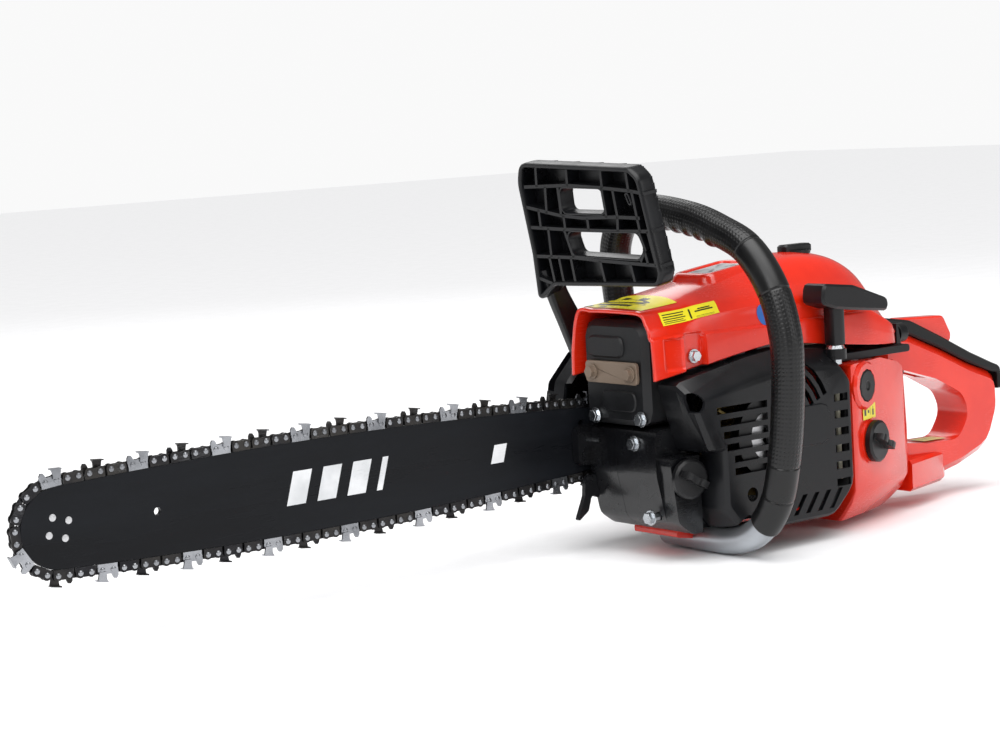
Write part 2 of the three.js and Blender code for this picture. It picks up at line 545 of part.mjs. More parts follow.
// ---------------------------------------------------------------- rear handle
const loopOuter = rounded([
  [180, 10, 0], [224, 8, 30], [276, 18, 30], [312, 30, 26], [326, 62, 30], [325, 91, 14],
  [290, 104, 60], [252, 121.5, 60], [214, 137, 40], [180, 142, 0], [180, 119, 0],
]);
const loopHole = rounded([
  [205, 46, 4], [232, 42, 20], [270, 41, 16], [285, 62, 18], [276, 80, 18],
  [244, 96, 40], [196, 110, 30], [180, 118.5, 0], [180, 46, 0],
], 4);
const stripOutline = [
  [180, 142 + GAP, 0], [214, 137 + GAP, 40], [252, 121.5 + GAP, 60], [290, 104 + GAP, 60],
  [318, 93.5 + GAP, 3], [326 + GAP, 92, 2], [326 + GAP, 78, 0], [330.5, 78, 0], [330.5, 97, 6], [320, 101, 5],
  [292, 113, 60], [255, 131, 60], [218, 148, 40], [180, 154, 0],
];
const leverGroove = block(198, 281, -7.6, 7.6, 108, 160);
{
  const arms = side(loopOuter, -LOOP_HALF, LOOP_HALF, 7);
  const opening = side(loopHole, -40, 40);
  const triggerRoom = block(198, 244, -6.6, 6.6, 80, 124);
  const heel = plan(rounded([[180, -38], [258, -15, 14], [258, 15, 14], [180, 38]]), 8, 34, 3);
  const heelTop = side(rounded([[190, 0], [262, 0], [262, 42, 4], [206, 46, 4], [190, 46, 0]]), -50, 50);
  const body = cut(join(arms, heel.intersect(heelTop)), opening, triggerRoom, leverGroove);
  add("rear_handle", cut(body, block(150, 192.3, -60, 60, -20, 118)), RED);
}
add("rear_grip", cut(side(rounded(stripOutline), -15, 15, 1.6), leverGroove), RUBBER);
{
  const lever = rounded([
    [200, 130, 2], [262, 122.5, 3], [276, 124, 3], [277, 131, 4],
    [268, 147, 6], [214, 149.5, 10], [200, 141, 4],
  ]);
  add("throttle_lockout", side(lever, -7, 7, 1.5), RED);
}
{
  const blade = rounded([
    [216, 121, 4], [229, 121, 4], [230, 113, 4], [218, 104, 12], [215, 92, 6], [210, 84, 2.5],
    [205, 86, 2.5], [207, 102, 20],
  ]);
  add("throttle_trigger", side(blade, -6, 6, 1.5), BLACK);
}

// ---------------------------------------------------------------- air box and top cover
{
  const floor = side(rectangle(89, 178, 128, 134, 2), -50, 44);
  const back = side(rounded([[163, 128, 0], [184, 128, 2], [180, 150, 3], [163, 150, 0]]), -36, 42);
  const wall = cut(back, block(150, 178, -40, 50, 134, 160));
  const way = (y, z) => front(rectangle(y - 5.6, y + 5.6, z - 5.6, z + 5.6), 150, 200);
  const handleRoom = block(178.5, 200, -17.6, 17.6, 118, 160);
  add("air_box", cut(join(floor, wall), way(-27, 141), way(27, 141), handleRoom), BLACK);
  const stem = front(circle(-27, 141, 4, 12), 176.5, 186);
  add("choke_knob", join(stem, front(circle(-27, 141, 8, 16), 185, 194)), BLACK);
  const rocker = rounded([[177, 137, 1], [186, 137, 1], [189, 146, 1.5], [185, 146.6, 1], [177, 144, 1]]);
  add("ignition_switch", side(rocker, 22.4, 31.6), RED);
}
// Cross-sections of the top cover:
// [x, ridge z, shoulder z, starter-side edge y, lower edge z, bar-side edge y].
const coverStations = [
  [-95, 186, 183, -46, 134, 52], [-60, 192, 185, -48, 139, 50], [-44, 195, 187, -49, 141.5, 49],
  [-10, 201, 190, -51, 147, 49], [25, 208, 192, -52, 150.5, 49], [60, 212, 191, -52, 147, 49],
  [95, 212.5, 188, -52, 142.5, 49], [125, 207, 180, -51, 139, 48], [150, 195, 168, -48, 136.5, 46],
  [166, 180, 158, -44, 135.5, 42], [174, 164, 150, -38, 135, 36],
];
function coverRing([, ridge, shoulder, nearY, lowZ, farY], shrink) {
  const [near, far, top, deep] = [nearY + shrink, farY - shrink, ridge - shrink, shoulder - shrink];
  return rounded([
    [near, lowZ - (shrink ? 20 : 0), 0], [near + 3, (lowZ + deep) / 2, 8], [near + 14, deep, 12],
    [near + 32, top, 30], [far - 26, top, 30], [far - 10, deep, 12], [far, (lowZ + deep) / 2, 8],
    [far, lowZ - (shrink ? 20 : 0), 0],
  ], 1);
}
const COVER_WALL = 2.4;
{
  const outer = loft(coverStations.map((s) => [s[0], coverRing(s, 0)]), alongX);
  const insideStations = coverStations.map(([x, ...rest], i) => [
    i === 0 ? x - 4 : i + 1 === coverStations.length ? x - COVER_WALL : x, ...rest]);
  const inner = loft(insideStations.map((s) => [s[0], coverRing(s, COVER_WALL)]), alongX);
  const notch = block(-62, -46, -70, -43.5, 130, 166);
  const notchSkin = block(-65, -43, -47.5, -41, 141, 166);
  const screwWay = side(circle(-54, 149, 3), -60, -30);
  const knobWay = plan(circle(103, 2, 8.4, 16), 180, 230);
  const badgeFrame = cut(
    plan(rectangle(-14, 42, -20, 22, 8), 192, 213.4, 1.2).subtract(inner),
    plan(rectangle(-8, 36, -14, 16, 5), 209.8, 220),
  );
  const pocket = cut(notchSkin, block(-63, -45, -60, -43.5, 130, 170));
  const skin = join(cut(join(outer, badgeFrame), notch), pocket);
  const below = block(-120, 200, -50, 60, 100, 128);
  add("top_cover", cut(skin, inner.subtract(notchSkin), screwWay, knobWay, below), RED);
}
add("cover_badge", plan(rectangle(-7.7, 35.7, -13.7, 15.7, 4.7), 210.2, 212.6), STEEL);
add("cover_screw", join(
  side(circle(-54, 149, 5.4, 16), -45.6, -43.8),
  side(circle(-54, 149, 4.2, 6), -49, -45),
  shaft(2.6, -45, -36, -54, 149, 10),
), ZINC);
{
  const stem = plan(circle(103, 2, 8, 16), 205, 214);
  const grip = plan(rounded([[88, -4, 3], [118, -4, 3], [118, 8, 3], [88, 8, 3]]), 213.4, 221, 1.5);
  const collar = plan(circle(103, 2, 13, 20), 213.4, 216);
  add("cover_knob", join(stem, collar, grip), BLACK);
}

// ---------------------------------------------------------------- starter
const starterCorners = [
  [-84, 131, 5], [-66, 77, 6], [-53, 76, 2], [-53, 34, 8], [-34, 10, 10], [64, 10, 14],
  [88, 32, 16], [88, 128, 8], [76, 141, 8], [25, 147, 20], [-10, 143.5, 20],
];
// The starter cover's outline drawn in by d, its upper edge lowered by `drop`.
const starterOutline = (d, drop = 0) => rounded(
  inset(starterCorners, d).map(([x, z], i) => [x, z > 118 ? z - drop : z, starterCorners[i][2]]), 2);
// A slot of width w bent round the crankshaft at radius r, from angle t0 to t1.
function arcSlot(r, t0, t1, w) {
  const sweep = (radius, from, to) =>
    Array.from({ length: 5 }, (_, i) => {
      const t = from + ((to - from) * i) / 4;
      return [radius * Math.cos(t), CRANK_Z + radius * Math.sin(t)];
    });
  return [...sweep(r + w / 2, t0, t1), ...sweep(r - w / 2, t1, t0)];
}
const slotsBy = [];
for (let i = 0; i < 6; i++) {
  const z = 58 + 9.6 * i;
  const from = z > 76 ? -58 + 3 * (5 - i) : -42;
  slotsBy.push(rectangle(from, -6, z, z + 5.4));
}
for (const r of [46, 54, 62])
  slotsBy.push(arcSlot(r, 0.42, r === 46 ? 1.2 : 1.08, 4.4));
for (let i = 0; i < 6; i++) slotsBy.push(rectangle(66, 81, 34 + 13.4 * i, 40 + 13.4 * i));
for (let i = 0; i < 5; i++) {
  const x = 4 + 13 * i;
  slotsBy.push([[x, 18], [x + 5, 18], [x + 16, 33], [x + 11, 33]]);
}
{
  const outer = loft([
    [STARTER_BACK_Y, starterOutline(0)], [-54, starterOutline(0)], [-68, starterOutline(1.5, 9)],
    [STARTER_FACE_Y + 1, starterOutline(3, 10.5)], [STARTER_FACE_Y, starterOutline(4.5, 11)],
  ], alongY);
  const inner = loft([
    [STARTER_BACK_Y + 5, starterOutline(2.6)], [-54, starterOutline(2.6)],
    [-67, starterOutline(4.4, 8)], [STARTER_FACE_Y + 2.6, starterOutline(5.5, 9.5)],
  ], alongY);
  const mouth = [ROPE.x, ROPE.y, ROPE.guideTop];
  const muzzle = turned([[0, -8], [9, -8], [9, 0], [0, 0]], mouth, [0, 0, 1]);
  const guideWay = turned([[0, -40], [5.1, -40], [5.1, 9], [0, 9]], mouth, [0, 0, 1]);
  const logoPanel = side(rectangle(20, 60, 70, 102, 8), STARTER_FACE_Y - 1.2, STARTER_FACE_Y + 2, 1);
  const holes = [shaft(7.5, -90, -60, -77, 117, 20), shaft(5.5, -90, -50, -25.2, 41, 16)];
  const slots = slotsBy.map((points) => side(points, -90, -60));
  const wall = cut(join(outer, muzzle, logoPanel), inner);
  const handleRun = tubeRun(SLEEVE_R + 1.37);
  const coverRoom = block(-60, 100, -40, -20, 127, 160);
  const screwRoom = block(-60, -46, -47, -30, 72, 160);
  const pierced = cut(wall, guideWay, ...slots, ...holes, handleRun, coverRoom, screwRoom);
  add("starter_cover", pierced, BLACK);
}
{
  const eyelet = [[2.8, -12], [4.8, -12], [4.8, GAP], [7.6, GAP], [6.6, 3], [2.8, 3], [2.8, -12]];
  add("rope_guide", turned(eyelet, [ROPE.x, ROPE.y, ROPE.guideTop], [0, 0, 1], 16), ZINC);
}
{
  const [y0, y1] = REEL_Y;
  const wheel = cut(shaft(33, y0, y1, 0, CRANK_Z, 28), cut(shaft(34, y0 + 2, y1 - 2), shaft(28, y0, y1)));
  add("starter_reel", cut(wheel, shaft(20, y0 - 1, y1 - 4), shaft(3.4, -90, -50, 0, CRANK_Z, 16)), BLACK);
  add("recoil_spring", cut(shaft(19.4, y0 + 0.4, y1 - 4.6, 0, CRANK_Z, 24), shaft(8, -90, -50)), STEEL);
}
{
  const run = [[0, -103], [ROPE.r, -103], [ROPE.r, 12], [0, 12]];
  add("starter_rope", turned(run, [ROPE.x, ROPE.y, ROPE.guideTop], [0, 0, 1], 10), WHITE);
  const top = ROPE.guideTop + 3.4;
  const { x, y, r } = ROPE;
  const stem = plan(rectangle(x - 7, x + 7, y - 6.5, y + 6.5, 4), top, top + 32);
  const ropeWay = turned([[0, -1], [r + GAP, -1], [r + GAP, 9], [0, 9]], [x, y, top], [0, 0, 1], 12);
  const grip = side(rounded([
    [x - 24, top + 34, 5], [x - 8, top + 29, 5], [x + 14, top + 26, 5], [x + 50, top + 22, 4],
    [x + 51, top + 32, 5], [x + 12, top + 46, 12], [x - 22, top + 50, 5],
  ]), y - 12, y + 12, 2);
  add("starter_grip", cut(join(stem, grip), ropeWay), BLACK);
}

// ---------------------------------------------------------------- front handle
add("front_handle_tube", tubeRun(TUBE_R), BARE_METAL);
{
  const sleeve = cut(tubeRun(SLEEVE_R), tubeRun(TUBE_R + GAP));
  const bareEnd = block(HANDLE_X - 40, HANDLE_X + 40, -88, 60, -20, 60);
  const farEnd = block(HANDLE_X - 40, HANDLE_X + 40, 30, 110, 100, 168);
  add("front_handle_grip", cut(sleeve, bareEnd, farEnd), RUBBER);
}

// ---------------------------------------------------------------- hand guard and brake
const GUARD_PIVOT = [-58, 138];
const GUARD_LEAN = 0.14; // the guard's top stands this far forward of upright, in radians
{
  // The plate's outline in y and height up the plate, seen from the front.
  const foot = 192;
  const outline = rounded([
    [84, 0, 4], [60, 14, 6], [-62, 16, 8], [-67, 26, 6], [-58, 98, 10],
    [-48, 106, 10], [80, 112, 6], [86, 96, 20], [82, 40, 30],
  ]);
  const windows = [
    rounded([[44, 66, 6], [-8, 66, 6], [-10, 92, 8], [46, 94, 6]], 2),
    rounded([[36, 31, 5], [-46, 31, 8], [-42, 54, 8], [48, 56, 5]], 2),
    rounded([[-26, 72, 2], [-31, 72, 2], [-29, 86, 2], [-24, 86, 2]], 1),
  ];
  const at = (a, b, h) =>
    new THREE.Vector3(-84 - b * Math.sin(GUARD_LEAN) - h * Math.cos(GUARD_LEAN), a,
      foot + b * Math.cos(GUARD_LEAN) - h * Math.sin(GUARD_LEAN));
  const panel = plate(outline, 0, 15, at, 2);
  const holes = windows.map((w) => plate(w, -5, 25, at));
  const arm = side(rounded([
    [GUARD_PIVOT[0] - 12, GUARD_PIVOT[1] - 10, 8], [GUARD_PIVOT[0] + 12, GUARD_PIVOT[1] - 10, 8],
    [GUARD_PIVOT[0] + 10, 160, 10], [-80, 214, 4], [-99, 214, 4],
    [-92, 192, 6], [GUARD_PIVOT[0] - 18, 160, 8],
  ]), 73, 83.4, 2);
  const pin = shaft(4.3, 60, 90, ...GUARD_PIVOT, 16);
  add("hand_guard", cut(join(cut(panel, ...holes), arm), pin), BLACK);
}

// ---------------------------------------------------------------- clutch cover
const clutchOutline = rounded([
  [-100, 66, 8], [-84, 48, 10], [-30, 42, 10], [20, 36, 14], [48, 48, 18], [56, 83, 20], [46, 116, 18],
  [20, 126, 8], [-44, 130, 4], [-46, 152, 4], [-72, 152, 8], [-96, 128, 8], [-100, 108, 6],
]);
{
  const outer = side(clutchOutline, 53.6, CLUTCH_FACE_Y, 5);
  const hollow = side(inset(clutchOutline, 3), 40, CLUTCH_FACE_Y - 3);
  const chainWay = block(-130, -20, 40, 60, CRANK_Z - 50, CRANK_Z + 44);
  const seat = rounded([[-96, 66, 4], [-42, 66, 4], [-42, 100, 4], [-96, 100, 4]]);
  const plateIn = side(seat, 52.4, CLUTCH_FACE_Y - 2);
  const studs = STUD_X.map((x) => shaft(STUD_R + GAP, 40, 90, x, CRANK_Z, 16));
  const nutSeat = STUD_X.map((x) => shaft(9, CLUTCH_FACE_Y - 5, 99, x, CRANK_Z, 20));
  const guardRoom = block(-110, -36, 72.4, 84, 120, 160);
  const pin = shaft(4, 71, CLUTCH_FACE_Y - 1, ...GUARD_PIVOT, 16);
  const shell = cut(outer, hollow, chainWay);
  add("clutch_cover", join(cut(join(shell, plateIn), ...studs, ...nutSeat, guardRoom), pin), BLACK);
}
STUD_X.forEach((x, i) => {
  add(`bar_stud_${i + 1}`, shaft(STUD_R, 32, CLUTCH_FACE_Y + 1, x, CRANK_Z, 16), ZINC);
  const flats = shaft(7.5, CLUTCH_FACE_Y - 3, CLUTCH_FACE_Y + 5, x, CRANK_Z, 6);
  const nut = join(flats, shaft(8.5, CLUTCH_FACE_Y - 4.7, CLUTCH_FACE_Y - 2.5, x, CRANK_Z, 20));
  add(`bar_nut_${i + 1}`, cut(nut, shaft(STUD_R + GAP, 40, 99, x, CRANK_Z, 16)), ZINC);
});
{
  const band = shaft(DRUM_R + 2.6, 60, 72, 0, CRANK_Z, 24);
  const inside = shaft(DRUM_R + 1.2, 50, 80, 0, CRANK_Z, 24);
  add("brake_band", cut(band, inside, block(-60, -20, 50, 80, 70, 130)), STEEL);
}
{
  const spikes = rounded([
    [-92, 40, 2], [-96, 28, 4], [-108, 20, 1], [-99, 40, 3],
    [-98, 52, 1], [-95, 55.5, 1], [-84, 55.5, 2], [-84, 36, 2],
  ]);
  const caseRoom = side(inset(caseOutline, -0.4), 0, 60);
  add("spike_bumper", cut(side(spikes, 39, 43), caseRoom), DARK_METAL);
}
{
  const pump = rounded([[-34, 44, 4], [-20, 44, 4], [-20, 56, 4], [-34, 56, 4]]);
  add("oil_pump", side(pump, 44 + GAP, 46.4), BARE_METAL);
}

export default saw;
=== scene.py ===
"""A petrol chainsaw with a long guide bar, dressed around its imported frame.

Lengths here are millimetres in the saw's own axes: +X from the bar's nose to the rear handle,
-Y the starter side, +Y the bar side, +Z up from the tank's underside. Setting.place turns them
into the frame's metres. Every new piece is a surface worked out as whole numpy arrays.
"""
from __future__ import annotations

import json
import logging
import math
from dataclasses import dataclass, field
from enum import Enum
from typing import Callable, Sequence

import bmesh
import bpy
import numpy as np
from mathutils import Matrix

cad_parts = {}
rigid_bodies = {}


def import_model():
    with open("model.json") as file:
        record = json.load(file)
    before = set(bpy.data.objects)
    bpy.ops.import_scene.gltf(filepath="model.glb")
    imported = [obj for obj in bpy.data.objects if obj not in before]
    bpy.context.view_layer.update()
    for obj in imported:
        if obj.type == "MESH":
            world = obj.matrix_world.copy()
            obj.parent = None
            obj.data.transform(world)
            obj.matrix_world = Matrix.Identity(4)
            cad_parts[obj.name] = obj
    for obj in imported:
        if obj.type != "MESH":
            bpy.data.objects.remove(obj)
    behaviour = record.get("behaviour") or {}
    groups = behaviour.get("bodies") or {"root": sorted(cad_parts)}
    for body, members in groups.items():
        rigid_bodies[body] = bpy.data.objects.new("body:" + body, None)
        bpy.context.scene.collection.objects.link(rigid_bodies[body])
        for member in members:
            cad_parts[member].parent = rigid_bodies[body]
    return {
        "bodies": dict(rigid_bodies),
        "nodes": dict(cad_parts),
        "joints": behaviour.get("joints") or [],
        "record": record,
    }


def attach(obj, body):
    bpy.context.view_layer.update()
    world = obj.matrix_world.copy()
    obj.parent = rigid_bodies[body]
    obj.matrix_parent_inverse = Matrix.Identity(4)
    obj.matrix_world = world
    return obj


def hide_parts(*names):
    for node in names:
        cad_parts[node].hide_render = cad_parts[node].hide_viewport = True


LOG = logging.getLogger("chainsaw")
MM = 0.001
CRANK_HEIGHT = 83.0  # of the crankshaft above the tank's underside
BAR_PLANE = 50.0  # y of the bar's middle plane
Array = np.ndarray
Points = Sequence[Sequence[float]]
Tree = bpy.types.NodeTree
Socket = bpy.types.NodeSocket


# ------------------------------------------------------------------ setting
@dataclass
class Setting:
    """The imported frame, and how the saw's millimetres sit in it."""

    frame: dict
    lift: float = field(init=False)

    def __post_init__(self) -> None:
        """Finds how far the tank's underside stands above the ground, from the crank's axis."""
        crank = next(j for j in self.frame["joints"] if j["name"] == "crank_spin")
        self.lift = crank["pos_m"][2] / MM - CRANK_HEIGHT

    def place(self, points: Array) -> Array:
        """The frame's metres for points in the saw's millimetres."""
        return (np.asarray(points, float) + [0.0, 0.0, self.lift]) * MM

    def settle(self, piece: bpy.types.Object, body: str, slot: str, *nodes: str) -> bpy.types.Object:
        """Rides a finished piece on a body, in place of the named CAD nodes.

        Args:
            piece: the Blender object.
            body: the CAD body that it moves with.
            slot: the record's material slot; not used.
            nodes: the CAD nodes that it stands for.

        Returns:
            The same piece.
        """
        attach(piece, body)
        if nodes:
            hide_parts(*nodes)
        LOG.info("%s rides on %s", piece.name, body)
        return piece


# ------------------------------------------------------------------ curves and surfaces
def weights_at(points: int, at: Array) -> Array:
    """Catmull-Rom weights of open controls at any parameters from 0 to points - 1.

    A sample at p between controls k and k+1 takes the four cubic weights of k-1 to k+2; controls
    past an end are the end's own straight continuation.

    Args:
        points: number of controls.
        at: the parameters.

    Returns:
        A matrix of samples by controls.
    """
    at = np.clip(np.asarray(at, float), 0, points - 1)
    low = np.minimum(at.astype(int), points - 2)
    t = at - low
    cubic = (
        0.5 * (-t + 2 * t**2 - t**3), 0.5 * (2 - 5 * t**2 + 3 * t**3),
        0.5 * (t + 4 * t**2 - 3 * t**3), 0.5 * (-(t**2) + t**3),
    )
    slots = np.arange(points + 2)
    weights = sum(share[..., None] * (slots == (low + k)[..., None]) for k, share in enumerate(cubic))
    inner = weights[..., 1:-1].copy()
    inner[..., 0] += 2 * weights[..., 0]
    inner[..., 1] -= weights[..., 0]
    inner[..., -1] += 2 * weights[..., -1]
    inner[..., -2] -= weights[..., -1]
    return inner


def even_curve(points: Points, count: int) -> Array:
    """Points at equal steps of length along the Catmull-Rom curve through the controls.

    Args:
        points: the controls.
        count: how many points come back.

    Returns:
        An array of count points.
    """
    controls = np.asarray(points, float)
    fine = weights_at(len(controls), np.linspace(0, len(controls) - 1, 24 * len(controls))) @ controls
    steps = np.linalg.norm(np.diff(fine, axis=0), axis=1)
    length = np.concatenate([[0.0], np.cumsum(steps)])
    at = np.linspace(0, length[-1], count)
    return np.stack([np.interp(at, length, fine[:, k]) for k in range(fine.shape[1])], axis=1)


def smooth(low: float, high: float, values: Array) -> Array:
    """0 below low, 1 above high, and the cubic 3t^2 - 2t^3 between."""
    t = np.clip((np.asarray(values) - low) / (high - low), 0, 1)
    return t * t * (3 - 2 * t)


def rounded_box_mask(a: Array, b: Array, box: Sequence[float], radius: float, soft: float) -> Array:
    """1 inside a round-cornered rectangle and 0 outside, over a soft band.

    The distance is that to the rectangle shrunk by the radius, less the radius.

    Args:
        a, b: the two coordinates.
        box: (a low, a high, b low, b high).
        radius: corner radius.
        soft: width of the band.

    Returns:
        The mask.
    """
    mid_a, mid_b = (box[0] + box[1]) / 2, (box[2] + box[3]) / 2
    over_a = np.maximum(np.abs(a - mid_a) - (box[1] - box[0]) / 2 + radius, 0)
    over_b = np.maximum(np.abs(b - mid_b) - (box[3] - box[2]) / 2 + radius, 0)
    return 1 - smooth(0, soft, np.hypot(over_a, over_b) - radius)


@dataclass
class Shapes:
    """Vertices and faces gathered into one mesh."""

    vertices: list[Array] = field(default_factory=list)
    faces: list[list[int]] = field(default_factory=list)
    count: int = 0

    def add(self, vertices: Array, faces: Sequence[Sequence[int]]) -> None:
        """Adds a closed shape, turned outwards if its volume comes out negative."""
        volume = 0.0
        for size in {len(f) for f in faces}:
            rows = np.array([f for f in faces if len(f) == size])
            for k in range(1, size - 1):
                a, b, c = vertices[rows[:, 0]], vertices[rows[:, k]], vertices[rows[:, k + 1]]
                volume += float(np.einsum("ij,ij->", a, np.cross(b, c)))
        turned = [list(reversed(f)) for f in faces] if volume < 0 else [list(f) for f in faces]
        self.vertices.append(np.asarray(vertices, float))
        self.faces += [[i + self.count for i in f] for f in turned]
        self.count += len(vertices)

    def grid(self, points: Array, around: bool = True, along: bool = False, ends: bool = True) -> None:
        """Adds a surface from a grid of points.

        Args:
            points: rows by columns by three.
            around: whether the last column joins the first.
            along: whether the last row joins the first.
            ends: whether the first and last rows are closed by fans to their middles.
        """
        rows, columns = points.shape[:2]
        index = np.arange(rows * columns).reshape(rows, columns)
        near, far = (index, np.roll(index, -1, axis=0)) if along else (index[:-1], index[1:])
        if around:
            quads = [near, np.roll(near, -1, axis=1), np.roll(far, -1, axis=1), far]
        else:
            quads = [near[:, :-1], near[:, 1:], far[:, 1:], far[:, :-1]]
        faces = np.stack(quads, axis=-1).reshape(-1, 4).tolist()
        vertices = points.reshape(-1, 3)
        if ends and not along:
            middles = np.stack([points[0].mean(0), points[-1].mean(0)])
            first, last = len(vertices), len(vertices) + 1
            vertices = np.vstack([vertices, middles])
            start, stop = index[0], index[-1]
            faces += np.stack([np.roll(start, -1), start, np.full(columns, first)], axis=-1).tolist()
            faces += np.stack([stop, np.roll(stop, -1), np.full(columns, last)], axis=-1).tolist()
        self.add(vertices, faces)

    def prism(self, outline: Array, low: float, high: float, place: Callable[[Array], Array]) -> None:
        """Adds a plate: the outline at two heights, joined by walls.

        Args:
            outline: count by two.
            low, high: the plate's two faces.
            place: turns (a, b, height) rows into points.
        """
        count = len(outline)
        levels = [np.column_stack([outline, np.full(count, h)]) for h in (low, high)]
        ring = np.arange(count)
        after = np.roll(ring, -1)
        walls = np.stack([ring, after, after + count, ring + count], axis=-1).tolist()
        caps = [ring[::-1].tolist(), (ring + count).tolist()]
        self.add(place(np.vstack(levels)), walls + caps)

    def repeat(self, other: "Shapes", at: Array, frames: Array) -> None:
        """Adds a copy of another set of shapes at every place.

        Args:
            other: the shapes to copy, as (along, sideways, out) coordinates.
            at: places, count by three.
            frames: for each place the three unit directions, count by three by three.
        """
        template = np.vstack(other.vertices)
        placed = at[:, None, :] + np.einsum("vk,nkc->nvc", template, frames)
        for points in placed:
            self.vertices.append(points)
            self.faces += [[i + self.count for i in f] for f in other.faces]
            self.count += len(points)

    def build(self, name: str, setting: Setting, material: bpy.types.Material,
              angle: float = 35.0) -> bpy.types.Object:
        """Makes the Blender object, shaded smooth except at edges sharper than the angle.

        Args:
            name: the piece's name.
            setting: gives the frame's place.
            material: its finish.
            angle: in degrees.

        Returns:
            The object, at the origin.
        """
        mesh = bpy.data.meshes.new(name)
        mesh.from_pydata(setting.place(np.vstack(self.vertices)).tolist(), [], self.faces)
        mesh.validate()
        mesh.shade_smooth()
        mesh.set_sharp_from_angle(angle=math.radians(angle))
        mesh.materials.append(material)
        piece = bpy.data.objects.new(name, mesh)
        bpy.context.scene.collection.objects.link(piece)
        return piece


def squircle(half_a: Array, half_b: Array, power: float, columns: int) -> Array:
    """Rounded-box sections: |a/half_a|^power + |b/half_b|^power = 1, walked by equal angles.

    Args:
        half_a, half_b: half sizes, one for each row.
        power: 2 is an ellipse, and larger is squarer.
        columns: points round a section.

    Returns:
        Rows by columns by two.
    """
    angle = 2 * np.pi * (np.arange(columns) + 0.5) / columns
    reach = (np.abs(np.cos(angle)) ** power + np.abs(np.sin(angle)) ** power) ** (-1 / power)
    unit = np.stack([np.cos(angle) * reach, np.sin(angle) * reach], axis=-1)
    return unit[None] * np.stack([np.atleast_1d(half_a), np.atleast_1d(half_b)], axis=-1)[:, None]


def softened(node: bpy.types.Object, edge: float, segments: int = 2, angle: float = 32.0) -> bpy.types.Object:
    """A copy of a CAD node with its triangles merged and its hard edges rolled over.

    Args:
        node: the CAD node's object.
        edge: width of the rolled edge in millimetres.
        segments: steps across it.
        angle: edges blunter than this many degrees stay as they are.

    Returns:
        The copy, at the origin.
    """
    mesh = node.data.copy()
    mesh.materials.clear()
    work = bmesh.new()
    work.from_mesh(mesh)
    bmesh.ops.remove_doubles(work, verts=work.verts, dist=2e-6)
    work.to_mesh(mesh)
    work.free()
    for name in ("custom_normal", "sharp_edge", "sharp_face"):
        if name in mesh.attributes:
            mesh.attributes.remove(mesh.attributes[name])
    mesh.shade_smooth()
    piece = bpy.data.objects.new(node.name + "_shell", mesh)
    bpy.context.scene.collection.objects.link(piece)
    bevel = piece.modifiers.new("rolled_edges", "BEVEL")
    bevel.width = edge * MM
    bevel.segments = segments
    bevel.limit_method = "ANGLE"
    bevel.angle_limit = math.radians(angle)
    bevel.harden_normals = True
    bevel.miter_outer = "MITER_ARC"
    return piece


# ------------------------------------------------------------------ effects shared by finishes
class Effect(Enum):
    """The shader groups that finishes share."""

    GRAIN = "fine grain"
    CLOUDS = "uneven sheen"
    WEAR = "edge wear"
    SCRATCHES = "hairline scratches"
    DUST = "settled dust"


